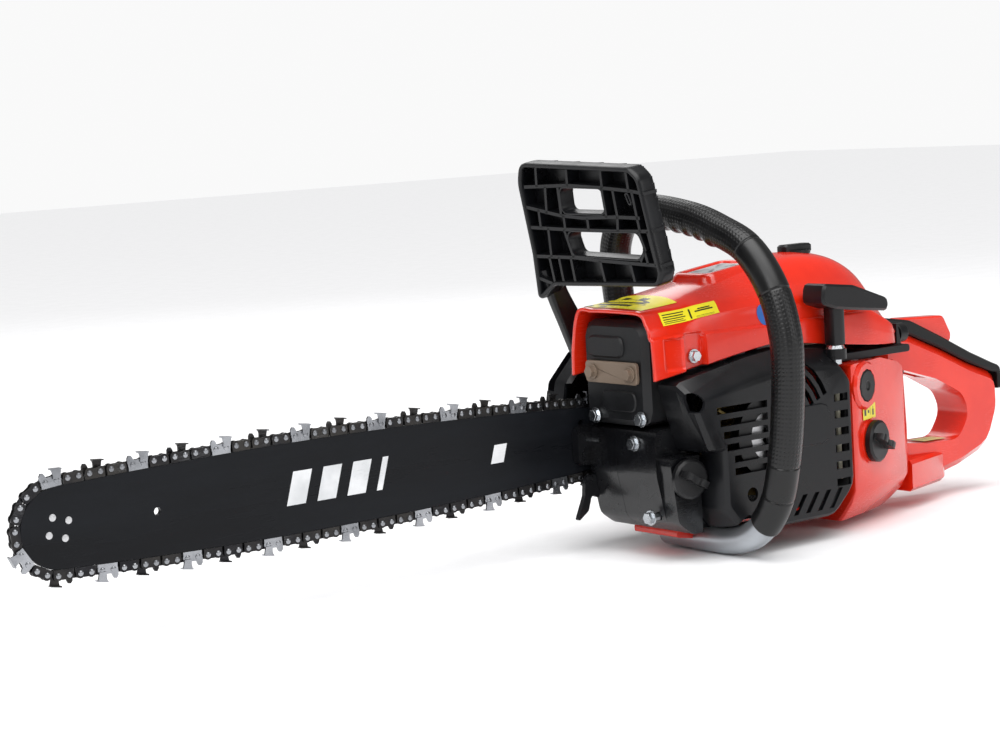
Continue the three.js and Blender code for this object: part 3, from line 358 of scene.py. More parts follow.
@dataclass
class Effects:
    """Builds each shared shader group once."""

    made: dict[Effect, Tree] = field(default_factory=dict)

    def group(self, effect: Effect) -> Tree:
        """The effect's node group, built at its first use."""
        if effect not in self.made:
            builders = {
                Effect.GRAIN: self._grain, Effect.CLOUDS: self._clouds, Effect.WEAR: self._wear,
                Effect.SCRATCHES: self._scratches, Effect.DUST: self._dust,
            }
            self.made[effect] = builders[effect]()
        return self.made[effect]

    @staticmethod
    def _start(name: str, values: Sequence[tuple[str, float]]) -> tuple[Tree, bpy.types.Node, bpy.types.Node]:
        """A new group with a Vector input, the named numbers as inputs and a Mask output.

        Args:
            name: the group's name.
            values: each number's label and its value until a finish sets it.

        Returns:
            The group, its input node and its output node.
        """
        tree = bpy.data.node_groups.new(name, "ShaderNodeTree")
        tree.interface.new_socket("Vector", in_out="INPUT", socket_type="NodeSocketVector")
        for label, value in values:
            socket = tree.interface.new_socket(label, in_out="INPUT", socket_type="NodeSocketFloat")
            socket.default_value = value
        tree.interface.new_socket("Mask", in_out="OUTPUT", socket_type="NodeSocketFloat")
        inlet = tree.nodes.new("NodeGroupInput")
        outlet = tree.nodes.new("NodeGroupOutput")
        return tree, inlet, outlet

    @staticmethod
    def noise(tree: Tree, vector: Socket, scale: Socket | float, detail: float, rough: float = 0.5) -> Socket:
        """A noise node fed by a vector.

        Args:
            tree: where the node goes.
            vector: the coordinates.
            scale: a number or a socket.
            detail: octaves of finer noise.
            rough: share that each octave keeps.

        Returns:
            The noise, about 0.5.
        """
        noise = tree.nodes.new("ShaderNodeTexNoise")
        tree.links.new(vector, noise.inputs["Vector"])
        if isinstance(scale, (int, float)):
            noise.inputs["Scale"].default_value = scale
        else:
            tree.links.new(scale, noise.inputs["Scale"])
        noise.inputs["Detail"].default_value = detail
        noise.inputs["Roughness"].default_value = rough
        return noise.outputs["Fac"]

    @staticmethod
    def ramp(tree: Tree, value: Socket, low: float, high: float) -> Socket:
        """A value stretched smoothly.

        Args:
            tree: where the node goes.
            value: what is stretched.
            low, high: what become 0 and 1.

        Returns:
            The stretched value, held between 0 and 1.
        """
        span = tree.nodes.new("ShaderNodeMapRange")
        span.interpolation_type = "SMOOTHSTEP"
        tree.links.new(value, span.inputs["Value"])
        span.inputs["From Min"].default_value = low
        span.inputs["From Max"].default_value = high
        return span.outputs["Result"]

    @staticmethod
    def maths(tree: Tree, kind: str, a: Socket | float, b: Socket | float) -> Socket:
        """A maths node on two sockets or numbers.

        Args:
            tree: where the node goes.
            kind: the operation.
            a, b: what it works on.

        Returns:
            The outcome.
        """
        node = tree.nodes.new("ShaderNodeMath")
        node.operation = kind
        for socket, value in zip(node.inputs, (a, b)):
            if isinstance(value, (int, float)):
                socket.default_value = value
            else:
                tree.links.new(value, socket)
        return node.outputs[0]

    def _grain(self) -> Tree:
        """Spark-eroded mould grain: fine noise with a finer cell pattern over it."""
        tree, inlet, outlet = self._start(Effect.GRAIN.value, [("Scale", 1500.0)])
        fine = self.noise(tree, inlet.outputs["Vector"], inlet.outputs["Scale"], 3.0, 0.6)
        cells = tree.nodes.new("ShaderNodeTexVoronoi")
        tree.links.new(inlet.outputs["Vector"], cells.inputs["Vector"])
        tree.links.new(inlet.outputs["Scale"], cells.inputs["Scale"])
        both = self.maths(tree, "ADD", fine, self.maths(tree, "MULTIPLY", cells.outputs["Distance"], 0.5))
        tree.links.new(both, outlet.inputs["Mask"])
        return tree

    def _clouds(self) -> Tree:
        """Broad patches, such as handling leaves on a sheen."""
        tree, inlet, outlet = self._start(Effect.CLOUDS.value, [("Scale", 30.0)])
        broad = self.noise(tree, inlet.outputs["Vector"], inlet.outputs["Scale"], 5.0, 0.6)
        tree.links.new(self.ramp(tree, broad, 0.3, 0.7), outlet.inputs["Mask"])
        return tree

    def _wear(self) -> Tree:
        """Rubbed convex edges, broken up by noise."""
        tree, inlet, outlet = self._start(Effect.WEAR.value, [("Scale", 120.0)])
        shape = tree.nodes.new("ShaderNodeNewGeometry")
        edge = self.ramp(tree, shape.outputs["Pointiness"], 0.52, 0.62)
        patchy = self.ramp(tree, self.noise(
            tree, inlet.outputs["Vector"], inlet.outputs["Scale"], 4.0, 0.65), 0.42, 0.62)
        tree.links.new(self.maths(tree, "MULTIPLY", edge, patchy), outlet.inputs["Mask"])
        return tree

    def _scratches(self) -> Tree:
        """Long thin lines: noise stretched forty times, cut close to its middle value."""
        tree, inlet, outlet = self._start(Effect.SCRATCHES.value, [("Scale", 30.0)])
        total = None
        for turn in (0.35, -0.8):
            place = tree.nodes.new("ShaderNodeMapping")
            place.inputs["Rotation"].default_value = (0.2, turn, 0.1)
            place.inputs["Scale"].default_value = (1.0, 12.0, 40.0)
            tree.links.new(inlet.outputs["Vector"], place.inputs["Vector"])
            line = self.noise(tree, place.outputs[0], inlet.outputs["Scale"], 2.0)
            far = self.maths(tree, "ABSOLUTE", self.maths(tree, "SUBTRACT", line, 0.5), 0.0)
            thin = self.maths(tree, "SUBTRACT", 1.0, self.ramp(tree, far, 0.0, 0.012))
            total = thin if total is None else self.maths(tree, "MAXIMUM", total, thin)
        here = self.ramp(tree, self.noise(tree, inlet.outputs["Vector"], 25.0, 2.0), 0.5, 0.65)
        tree.links.new(self.maths(tree, "MULTIPLY", total, here), outlet.inputs["Mask"])
        return tree

    def _dust(self) -> Tree:
        """A thin film where the surface faces up."""
        tree, inlet, outlet = self._start(Effect.DUST.value, [("Scale", 60.0)])
        shape = tree.nodes.new("ShaderNodeNewGeometry")
        parts = tree.nodes.new("ShaderNodeSeparateXYZ")
        tree.links.new(shape.outputs["Normal"], parts.inputs[0])
        up = self.ramp(tree, parts.outputs["Z"], 0.2, 1.0)
        patchy = self.noise(tree, inlet.outputs["Vector"], inlet.outputs["Scale"], 6.0, 0.7)
        tree.links.new(self.maths(tree, "MULTIPLY", up, patchy), outlet.inputs["Mask"])
        return tree


EFFECTS = Effects()


def linear(hex_colour: str) -> tuple[float, float, float, float]:
    """Scene-linear RGBA for a six-digit display colour."""
    parts = np.array([int(hex_colour[i:i + 2], 16) for i in (0, 2, 4)]) / 255
    low, high = parts / 12.92, ((parts + 0.055) / 1.055) ** 2.4
    red, green, blue = np.where(parts <= 0.04045, low, high)
    return float(red), float(green), float(blue), 1.0


@dataclass(frozen=True)
class Finish:
    """A surface finish: two colours, a sheen, and how it is grained, worn and dusted."""

    name: str
    colour: str
    second: str
    rough: tuple[float, float] = (0.3, 0.45)
    metal: float = 0.0
    coat: float = 0.0
    coat_rough: float = 0.08
    grain_scale: float = 1500.0
    grain_depth: float = 0.02
    worn: str = "8c8c8c"
    wear: float = 0.0
    scratch: float = 0.1
    dust: float = 0.05
    stretch: tuple[float, float, float] = (1.0, 1.0, 1.0)
    specular: float = 0.5

    def material(self) -> bpy.types.Material:
        """The finish as a node material, reading Object coordinates."""
        if self.name in bpy.data.materials:
            return bpy.data.materials[self.name]
        made = bpy.data.materials.new(self.name)
        made.use_nodes = True
        tree = made.node_tree
        shader = next(n for n in tree.nodes if n.type == "BSDF_PRINCIPLED")
        where = tree.nodes.new("ShaderNodeTexCoord").outputs["Object"]
        along = self._stretched(tree, where)
        grain = self._effect(tree, Effect.GRAIN, along, self.grain_scale)
        clouds = self._effect(tree, Effect.CLOUDS, along, 28.0)
        colour = self._mix(tree, clouds, linear(self.colour), linear(self.second))
        if self.wear:
            worn = self._scaled(tree, self._effect(tree, Effect.WEAR, where, 130.0), self.wear)
            colour = self._mix(tree, worn, colour, linear(self.worn))
        lines = self._effect(tree, Effect.SCRATCHES, where, 26.0)
        colour = self._mix(tree, self._scaled(tree, lines, self.scratch), colour, linear(self.worn))
        film = self._scaled(tree, self._effect(tree, Effect.DUST, where, 70.0), self.dust)
        colour = self._mix(tree, film, colour, linear("a89f92"))
        colour = self.pattern(tree, where, colour)
        tree.links.new(colour, shader.inputs["Base Color"])
        sheen = tree.nodes.new("ShaderNodeMapRange")
        tree.links.new(clouds, sheen.inputs["Value"])
        sheen.inputs["To Min"].default_value, sheen.inputs["To Max"].default_value = self.rough
        dulled = tree.nodes.new("ShaderNodeMath")
        dulled.operation = "ADD"
        dulled.use_clamp = True
        tree.links.new(sheen.outputs["Result"], dulled.inputs[0])
        tree.links.new(self._scaled(tree, lines, 0.15), dulled.inputs[1])
        tree.links.new(dulled.outputs[0], shader.inputs["Roughness"])
        shader.inputs["Metallic"].default_value = self.metal
        shader.inputs["Coat Weight"].default_value = self.coat
        shader.inputs["Coat Roughness"].default_value = self.coat_rough
        shader.inputs["Specular IOR Level"].default_value = self.specular
        bump = tree.nodes.new("ShaderNodeBump")
        bump.inputs["Strength"].default_value = 0.5
        bump.inputs["Distance"].default_value = self.grain_depth * MM
        tree.links.new(self.relief(tree, where, grain), bump.inputs["Height"])
        tree.links.new(bump.outputs["Normal"], shader.inputs["Normal"])
        return made

    def pattern(self, tree: Tree, where: Socket, colour: Socket) -> Socket:
        """The colour after this finish's own markings; a plain finish has none."""
        return colour

    def relief(self, tree: Tree, where: Socket, grain: Socket) -> Socket:
        """The height that the bump reads; a plain finish has only its grain."""
        return grain

    def _stretched(self, tree: Tree, where: Socket) -> Socket:
        """The coordinates drawn out along the finish's grain.

        Args:
            tree: the material's nodes.
            where: the plain coordinates.

        Returns:
            The drawn-out coordinates.
        """
        place = tree.nodes.new("ShaderNodeMapping")
        place.inputs["Scale"].default_value = self.stretch
        tree.links.new(where, place.inputs["Vector"])
        return place.outputs["Vector"]

    @staticmethod
    def _effect(tree: Tree, effect: Effect, vector: Socket, scale: float) -> Socket:
        """A shared effect placed in a material.

        Args:
            tree: the material's nodes.
            effect: which one.
            vector: the coordinates.
            scale: its features to the metre.

        Returns:
            Its mask.
        """
        node = tree.nodes.new("ShaderNodeGroup")
        node.node_tree = EFFECTS.group(effect)
        tree.links.new(vector, node.inputs["Vector"])
        node.inputs["Scale"].default_value = scale
        return node.outputs["Mask"]

    @staticmethod
    def _scaled(tree: Tree, value: Socket, share: float) -> Socket:
        """A mask times a share."""
        return Effects.maths(tree, "MULTIPLY", value, share)

    @staticmethod
    def _mix(tree: Tree, share: Socket, first: Socket | tuple, second: Socket | tuple) -> Socket:
        """Two colours mixed by a mask.

        Args:
            tree: the material's nodes.
            share: 0 shows the first colour and 1 the second.
            first, second: sockets or RGBA.

        Returns:
            The mixed colour.
        """
        node = tree.nodes.new("ShaderNodeMix")
        node.data_type = "RGBA"
        tree.links.new(share, node.inputs[0])
        for socket, value in ((node.inputs[6], first), (node.inputs[7], second)):
            if isinstance(value, tuple):
                socket.default_value = value
            else:
                tree.links.new(value, socket)
        return node.outputs[2]


RED = Finish("orange_red_moulding", "db280e", "d0210a", (0.18, 0.26), coat=0.45, grain_scale=420.0,
             grain_depth=0.012, scratch=0.02, dust=0.004, worn="ec7a62")
SHELL = Finish("black_satin_moulding", "0b0b0d", "101114", (0.26, 0.38), grain_scale=1600.0,
               grain_depth=0.03, scratch=0.05, dust=0.004, worn="2a2b2e", specular=0.3)
TRIM = Finish("black_trim_moulding", "09090b", "0f0f11", (0.3, 0.44), grain_scale=2200.0,
              grain_depth=0.03, scratch=0.04, dust=0.006, worn="2a2b2d", specular=0.35)
RUBBER = Finish("handle_rubber", "090909", "0e0e0f", (0.34, 0.48), grain_scale=2600.0,
                grain_depth=0.04, scratch=0.02, dust=0.006, worn="202021", specular=0.3)
CASTING = Finish("painted_casting", "08080a", "0d0e11", (0.2, 0.32), grain_scale=700.0,
                 grain_depth=0.08, scratch=0.05, dust=0.006, worn="3c3e42", coat=0.15, specular=0.45)
MUFFLER = Finish("heatproof_black", "0a0b0d", "131417", (0.42, 0.56), grain_scale=900.0,
                 grain_depth=0.07, scratch=0.05, dust=0.01, worn="2e2b28", specular=0.35)
LACQUER = Finish("bar_lacquer", "0c0d10", "131519", (0.24, 0.36), grain_scale=900.0,
                 grain_depth=0.015, scratch=0.1, dust=0.004, worn="3a3c40", stretch=(0.12, 1, 1),
                 specular=0.14)
# Dark steel: the tie straps' own finish, and painted shade on the far-leaning cutters.
CHAIN_DARK_AND_PAINTED_SHADE = Finish("chain_blued_steel_and_painted_shade", "232326", "3d3b39", (0.28, 0.45), metal=0.9, grain_scale=1800.0,
                    grain_depth=0.03, scratch=0.3, worn="a9abae", dust=0.01)
CHAIN_BRIGHT = Finish("chain_chromed_steel", "9fa1a5", "77797d", (0.18, 0.34), metal=1.0, grain_scale=1500.0,
                      grain_depth=0.02, scratch=0.25, worn="d2d3d5", dust=0.01)
STEEL = Finish("machined_steel", "8f9296", "77797d", (0.24, 0.4), metal=1.0, grain_scale=1200.0,
               grain_depth=0.02, scratch=0.25, stretch=(1, 8, 1), dust=0.04, worn="c6c8cb")
ZINC = Finish("zinc_plate", "c4c8cc", "a5a9ad", (0.18, 0.34), metal=1.0, grain_scale=1500.0,
              grain_depth=0.03, scratch=0.2, wear=0.4, worn="e8eaec", dust=0.03)
TUBE = Finish("drawn_aluminium", "b4b8bd", "9da1a6", (0.3, 0.46), metal=0.85, grain_scale=900.0,
              grain_depth=0.03, scratch=0.25, stretch=(1.0, 0.15, 1.0), dust=0.04, worn="dfe1e3")
ALLOY = Finish("cast_aluminium", "9b9da0", "85878a", (0.4, 0.55), metal=0.9, grain_scale=800.0,
               grain_depth=0.1, scratch=0.1, dust=0.08, worn="c9cbce")
BROWNED = Finish("heat_browned_steel", "2c231c", "3f2f22", (0.34, 0.5), metal=0.5, grain_scale=900.0,
                 grain_depth=0.05, scratch=0.15, dust=0.01, worn="5e4d3c")
BRASS = Finish("yellow_passivated_casting", "a08a55", "7f6c42", (0.32, 0.48), metal=0.9, grain_scale=900.0,
               grain_depth=0.06, scratch=0.2, wear=0.4, worn="d9c58c")
FELT = Finish("flocked_felt", "d9d5c6", "c4bfae", (0.8, 0.95), grain_scale=3000.0, grain_depth=0.12,
              scratch=0.0, dust=0.1)
CERAMIC = Finish("glazed_ceramic", "e6e3da", "d8d4c9", (0.12, 0.2), grain_scale=400.0, grain_depth=0.01,
                 scratch=0.02)
CREAM = Finish("cream_nylon", "d8d3bf", "c6c0aa", (0.35, 0.5), grain_scale=900.0, grain_depth=0.03,
               scratch=0.05)
PRINT_WHITE = Finish("white_print", "dfe0e2", "c4c6c8", (0.3, 0.42), grain_scale=1200.0, grain_depth=0.006,
                     scratch=0.25, worn="4a4b4d")
PLATE = Finish("grey_plate", "74787c", "5e6266", (0.28, 0.42), metal=0.5, grain_scale=900.0,
               grain_depth=0.02, scratch=0.15, stretch=(0.1, 1, 1), worn="a9adb1")
FLOOR = Finish("pale_floor", "f6f6f7", "f2f2f3", (0.6, 0.75), grain_scale=20.0, grain_depth=0.02,
               scratch=0.0, dust=0.0, specular=0.2)


@dataclass(frozen=True)
class DimpledRubber(Finish):
    """Handle rubber with rows of small dimples where the piece's "dimpled" attribute is 1."""

    pitch: float = 3.1
    pit_depth: float = 11.0  # times the grain's

    def relief(self, tree: Tree, where: Socket, grain: Socket) -> Socket:
        """Grain, less a round pit in every square of a grid laid along the handle.

        Args:
            tree: the material's nodes.
            where: the coordinates, which this finish leaves for its own map.
            grain: the mould grain's height.

        Returns:
            The height, where 1 is one grain deep.
        """
        sheet = tree.nodes.new("ShaderNodeUVMap").outputs["UV"]
        cells = tree.nodes.new("ShaderNodeTexVoronoi")
        cells.voronoi_dimensions = "2D"
        cells.inputs["Scale"].default_value = 1 / self.pitch
        cells.inputs["Randomness"].default_value = 0.12
        tree.links.new(sheet, cells.inputs["Vector"])
        pit = Effects.ramp(tree, cells.outputs["Distance"], 0.12, 0.42)
        region = tree.nodes.new("ShaderNodeAttribute")
        region.attribute_name = "dimpled"
        below = Effects.maths(tree, "SUBTRACT", pit, 1.0)
        depth = Effects.maths(tree, "MULTIPLY", below, region.outputs["Fac"])
        deep = Effects.maths(tree, "MULTIPLY", depth, self.pit_depth)
        return Effects.maths(tree, "ADD", grain, deep)


@dataclass(frozen=True)
class Label(Finish):
    """A printed sticker: a ground colour with dark bars for wording and a plain sign.

    Bars and sign are given in the sticker's own 0 to 1 coordinates as (u low, u high, v low, v high).
    """

    ink: str = "151310"
    bars: tuple[tuple[float, float, float, float], ...] = ()
    round_sign: tuple[float, float, float] = (0.0, 0.0, 0.0)
    aspect: float = 1.0

    def pattern(self, tree: Tree, where: Socket, colour: Socket) -> Socket:
        """Ink where a bar or the sign's ring covers the ground.

        Args:
            tree: the material's nodes.
            where: the coordinates, which a print leaves for its own map.
            colour: the ground.

        Returns:
            The printed colour.
        """
        parts = tree.nodes.new("ShaderNodeSeparateXYZ")
        tree.links.new(tree.nodes.new("ShaderNodeUVMap").outputs["UV"], parts.inputs[0])
        u, v = parts.outputs["X"], parts.outputs["Y"]
        ink = None
        for low_u, high_u, low_v, high_v in self.bars:
            across = self._inside(tree, u, low_u, high_u)
            up = self._inside(tree, v, low_v, high_v)
            bar = Effects.maths(tree, "MULTIPLY", across, up)
            ink = bar if ink is None else Effects.maths(tree, "MAXIMUM", ink, bar)
        if self.round_sign[2]:
            ink = self._disc(tree, u, v, ink)
        return colour if ink is None else self._mix(tree, ink, colour, linear(self.ink))

    @staticmethod
    def _inside(tree: Tree, value: Socket, low: float, high: float) -> Socket:
        """1 where a value lies between two others."""
        above = Effects.maths(tree, "GREATER_THAN", value, low)
        return Effects.maths(tree, "MULTIPLY", above, Effects.maths(tree, "LESS_THAN", value, high))

    def _disc(self, tree: Tree, u: Socket, v: Socket, ink: Socket | None) -> Socket:
        """The sign's ring added to the ink: where the squared distance lies between two squares.

        Args:
            tree: the material's nodes.
            u, v: the sticker's own coordinates.
            ink: what is printed already.

        Returns:
            The ink with the ring.
        """
        middle_u, middle_v, radius = self.round_sign
        du = Effects.maths(tree, "MULTIPLY", Effects.maths(tree, "SUBTRACT", u, middle_u), self.aspect)
        dv = Effects.maths(tree, "SUBTRACT", v, middle_v)
        square = Effects.maths(tree, "ADD", Effects.maths(tree, "MULTIPLY", du, du),
                               Effects.maths(tree, "MULTIPLY", dv, dv))
        ring = self._inside(tree, square, (0.72 * radius) ** 2, radius**2)
        return ring if ink is None else Effects.maths(tree, "MAXIMUM", ink, ring)


YELLOW = dict(colour="e9dc2b", second="dfd021", rough=(0.25, 0.36), grain_scale=900.0, grain_depth=0.004,
              scratch=0.05, worn="f4efb0", dust=0.02)
TOP_LABEL = Label("top_warning_sticker", **YELLOW, bars=(
    (0.03, 0.13, 0.2, 0.3), (0.03, 0.12, 0.42, 0.5), (0.18, 0.3, 0.3, 0.7), (0.34, 0.36, 0.15, 0.85),
    (0.4, 0.47, 0.25, 0.8), (0.63, 0.8, 0.62, 0.7), (0.63, 0.78, 0.44, 0.52), (0.63, 0.81, 0.26, 0.34),
), round_sign=(0.54, 0.5, 0.3), aspect=2.6)
SIDE_LABEL = Label("side_warning_sticker", **YELLOW, bars=(
    (0.04, 0.42, 0.78, 0.85), (0.04, 0.4, 0.62, 0.69), (0.04, 0.43, 0.46, 0.53), (0.04, 0.38, 0.3, 0.37),
    (0.04, 0.41, 0.14, 0.21), (0.5, 0.53, 0.12, 0.86), (0.6, 0.92, 0.56, 0.66), (0.66, 0.88, 0.7, 0.78),
    (0.6, 0.92, 0.2, 0.24), (0.6, 0.92, 0.1, 0.13),
))
FUEL_LABEL = Label("fuel_sticker", **YELLOW, bars=(
    (0.1, 0.26, 0.25, 0.75), (0.38, 0.5, 0.4, 0.6), (0.56, 0.59, 0.25, 0.75), (0.74, 0.86, 0.2, 0.6),
    (0.78, 0.82, 0.6, 0.8),
))
HANDLE_LABEL = Label("handle_sticker", "e4dc93", "d8cf80", (0.3, 0.42), grain_scale=900.0, grain_depth=0.004,
                     scratch=0.05, worn="f4efd0", dust=0.03, bars=(
    (0.06, 0.94, 0.7, 0.73), (0.06, 0.9, 0.5, 0.53), (0.06, 0.92, 0.3, 0.33)))
BLUE_LABEL = Label("blue_sign", "1f5fae", "1b56a0", (0.25, 0.36), grain_scale=900.0, grain_depth=0.004,
                   scratch=0.05, worn="c7d7ee", dust=0.02, ink="eef2f6", bars=((0.4, 0.6, 0.3, 0.55),),
                   round_sign=(0.5, 0.6, 0.22))
DIMPLED = DimpledRubber("dimpled_handle_rubber", "080809", "0d0d0e", (0.26, 0.36), grain_scale=2600.0,
                        grain_depth=0.03, scratch=0.02, dust=0.005, worn="202021", specular=0.4)


def lay_out(piece: bpy.types.Object, rows: int, columns: int, size: Sequence[float], wrap: bool) -> None:
    """Gives a gridded piece a UV map: u along the rows, v along the columns.

    Args:
        piece: its first faces are the grid's, row by row.
        rows, columns: of the grid.
        size: what u and v reach at the grid's far corner.
        wrap: whether the last column joins the first.
    """
    mesh = piece.data
    corners = np.empty(len(mesh.loops), np.int32)
    mesh.loops.foreach_get("vertex_index", corners)
    starts = np.empty(len(mesh.polygons), np.int32)
    mesh.polygons.foreach_get("loop_start", starts)
    face = np.repeat(np.arange(len(starts)), np.diff(np.append(starts, len(corners))))
    row, column = corners // columns, (corners % columns).astype(float)
    spans = columns if wrap else columns - 1
    last = (face % spans == spans - 1) & (column == 0) & wrap
    column[last] = columns
    places = np.stack([row * size[0] / (rows - 1), column * size[1] / spans], axis=-1)
    layer = mesh.uv_layers.new(name="sheet")
    layer.data.foreach_set("uv", places.astype(np.float32).ravel())


# ------------------------------------------------------------------ front handle
@dataclass
class FrontHandle:
    """The alloy tube that goes round the front of the saw, and its rubber sleeve."""

    setting: Setting
    tube_radius: float = 11.0
    sleeve_radius: float = 12.8
    across: float = -30.0  # x of the handle's plane
    path: Points = (
        (58, 132), (62, 155), (66, 180), (69, 207), (67, 232), (54, 251), (26, 258), (-22, 252), (-55, 242),
        (-84.5, 228), (-108, 200), (-119.5, 166), (-120.5, 137), (-118.5, 110), (-115.5, 87), (-111, 65),
        (-105, 44.5), (-94, 26), (-78, 12), (-58, 5.5), (-36, 4), (-5, 4.4), (22, 5),
    )
    steps: int = 1500
    sides: int = 72
    sleeve_end: tuple[float, float] = (-88.0, 60.0)  # the sleeve stops before both y and z pass these
    sleeve_start: float = 168.0  # z where the sleeve begins on the bar side
    seams: Points = ((-84, 228.5), (-110, 196), (-112, 68), (-104.5, 43))
    seam_depth: float = 0.7
    rim: float = 2.4  # radius of the sleeve's rounded ends
    finger_run: tuple[float, float] = (-58.0, 9.5)  # y
    finger_pitch: float = 13.5
    finger_height: float = 1.8

    def centre(self) -> Array:
        """The tube's centre line as even points in y and z."""
        return even_curve(self.path, self.steps)

    def swept(self, centre: Array, radius: Array, bulge: Array | None = None) -> Array:
        """Rings round a centre line that stays in one plane.

        Each ring point is centre + r (cos t * x axis + sin t * outward normal of the curve).

        Args:
            centre: rows by (y, z).
            radius: one for each row.
            bulge: extra radius, rows by sides.

        Returns:
            Rows by sides by three.
        """
        slope = np.gradient(centre, axis=0)
        slope /= np.linalg.norm(slope, axis=1, keepdims=True)
        angle = 2 * np.pi * np.arange(self.sides) / self.sides
        reach = radius[:, None] + (0 if bulge is None else bulge)
        out = reach * np.sin(angle)
        x = self.across + reach * np.cos(angle)
        y = centre[:, :1] - out * slope[:, 1:]
        z = centre[:, 1:] + out * slope[:, :1]
        return np.stack([x, y, z], axis=-1)

    def tube(self) -> bpy.types.Object:
        """The bare tube."""
        centre = self.centre()[::5]
        shapes = Shapes()
        shapes.grid(self.swept(centre, np.full(len(centre), self.tube_radius)))
        piece = shapes.build("bare_handle_tube", self.setting, TUBE.material())
        return self.setting.settle(piece, "root", "bare_tube", "front_handle_tube")

    def sleeve(self) -> bpy.types.Object:
        """The rubber sleeve: seams between its sections, finger bumps under the top, rounded ends."""
        whole = self.centre()
        y, z = whole[:, 0], whole[:, 1]
        stop = int(np.flatnonzero((y < self.sleeve_end[0]) & (z < self.sleeve_end[1]))[-1])
        start = int(np.flatnonzero(z > self.sleeve_start)[0])
        centre = whole[start:stop]
        step = float(np.linalg.norm(whole[1] - whole[0]))
        along = np.arange(len(centre)) * step
        seams = [self._nearest(centre, p) for p in self.seams]
        radius = np.full(len(centre), self.sleeve_radius - self.seam_depth / 2)
        for seam in seams:
            radius -= self.seam_depth * np.exp(-(((along - seam * step) / self.seam_depth) ** 2))
        from_end = 1 - np.clip(np.minimum(along, along[-1] - along) / self.rim, 0, 1)
        radius -= self.rim * (1 - np.sqrt(np.clip(1 - from_end**2, 0, 1)))
        y = centre[:, 0]
        angle = 2 * np.pi * np.arange(self.sides) / self.sides
        under = np.clip(np.sin(angle), 0, 1) ** 1.5
        low, high = self.finger_run
        wave = 0.5 - 0.5 * np.cos(2 * np.pi * (y - low) / self.finger_pitch)
        fingers = np.where((y > low) & (y < high) & (centre[:, 1] > 200), wave, 0)
        shapes = Shapes()
        points = self.swept(centre, radius, self.finger_height * fingers[:, None] * under[None])
        shapes.grid(points)
        piece = shapes.build("front_handle_sleeve", self.setting, DIMPLED.material(), 60)
        lay_out(piece, len(centre), self.sides, (along[-1], 2 * np.pi * self.sleeve_radius), True)
        rows = np.arange(len(centre))
        covered = (rows < seams[0]) | ((rows > seams[1]) & (rows < seams[2]))
        flags = np.append(np.repeat(covered.astype(np.float32), self.sides), [0, 0])
        mark = piece.data.attributes.new("dimpled", "FLOAT", "POINT")
        mark.data.foreach_set("value", flags)
        return self.setting.settle(piece, "root", "black_rubber", "front_handle_grip")

    @staticmethod
    def _nearest(centre: Array, place: Sequence[float]) -> int:
        """The row whose centre is nearest to a place."""
        return int(np.argmin(np.hypot(centre[:, 0] - place[0], centre[:, 1] - place[1])))


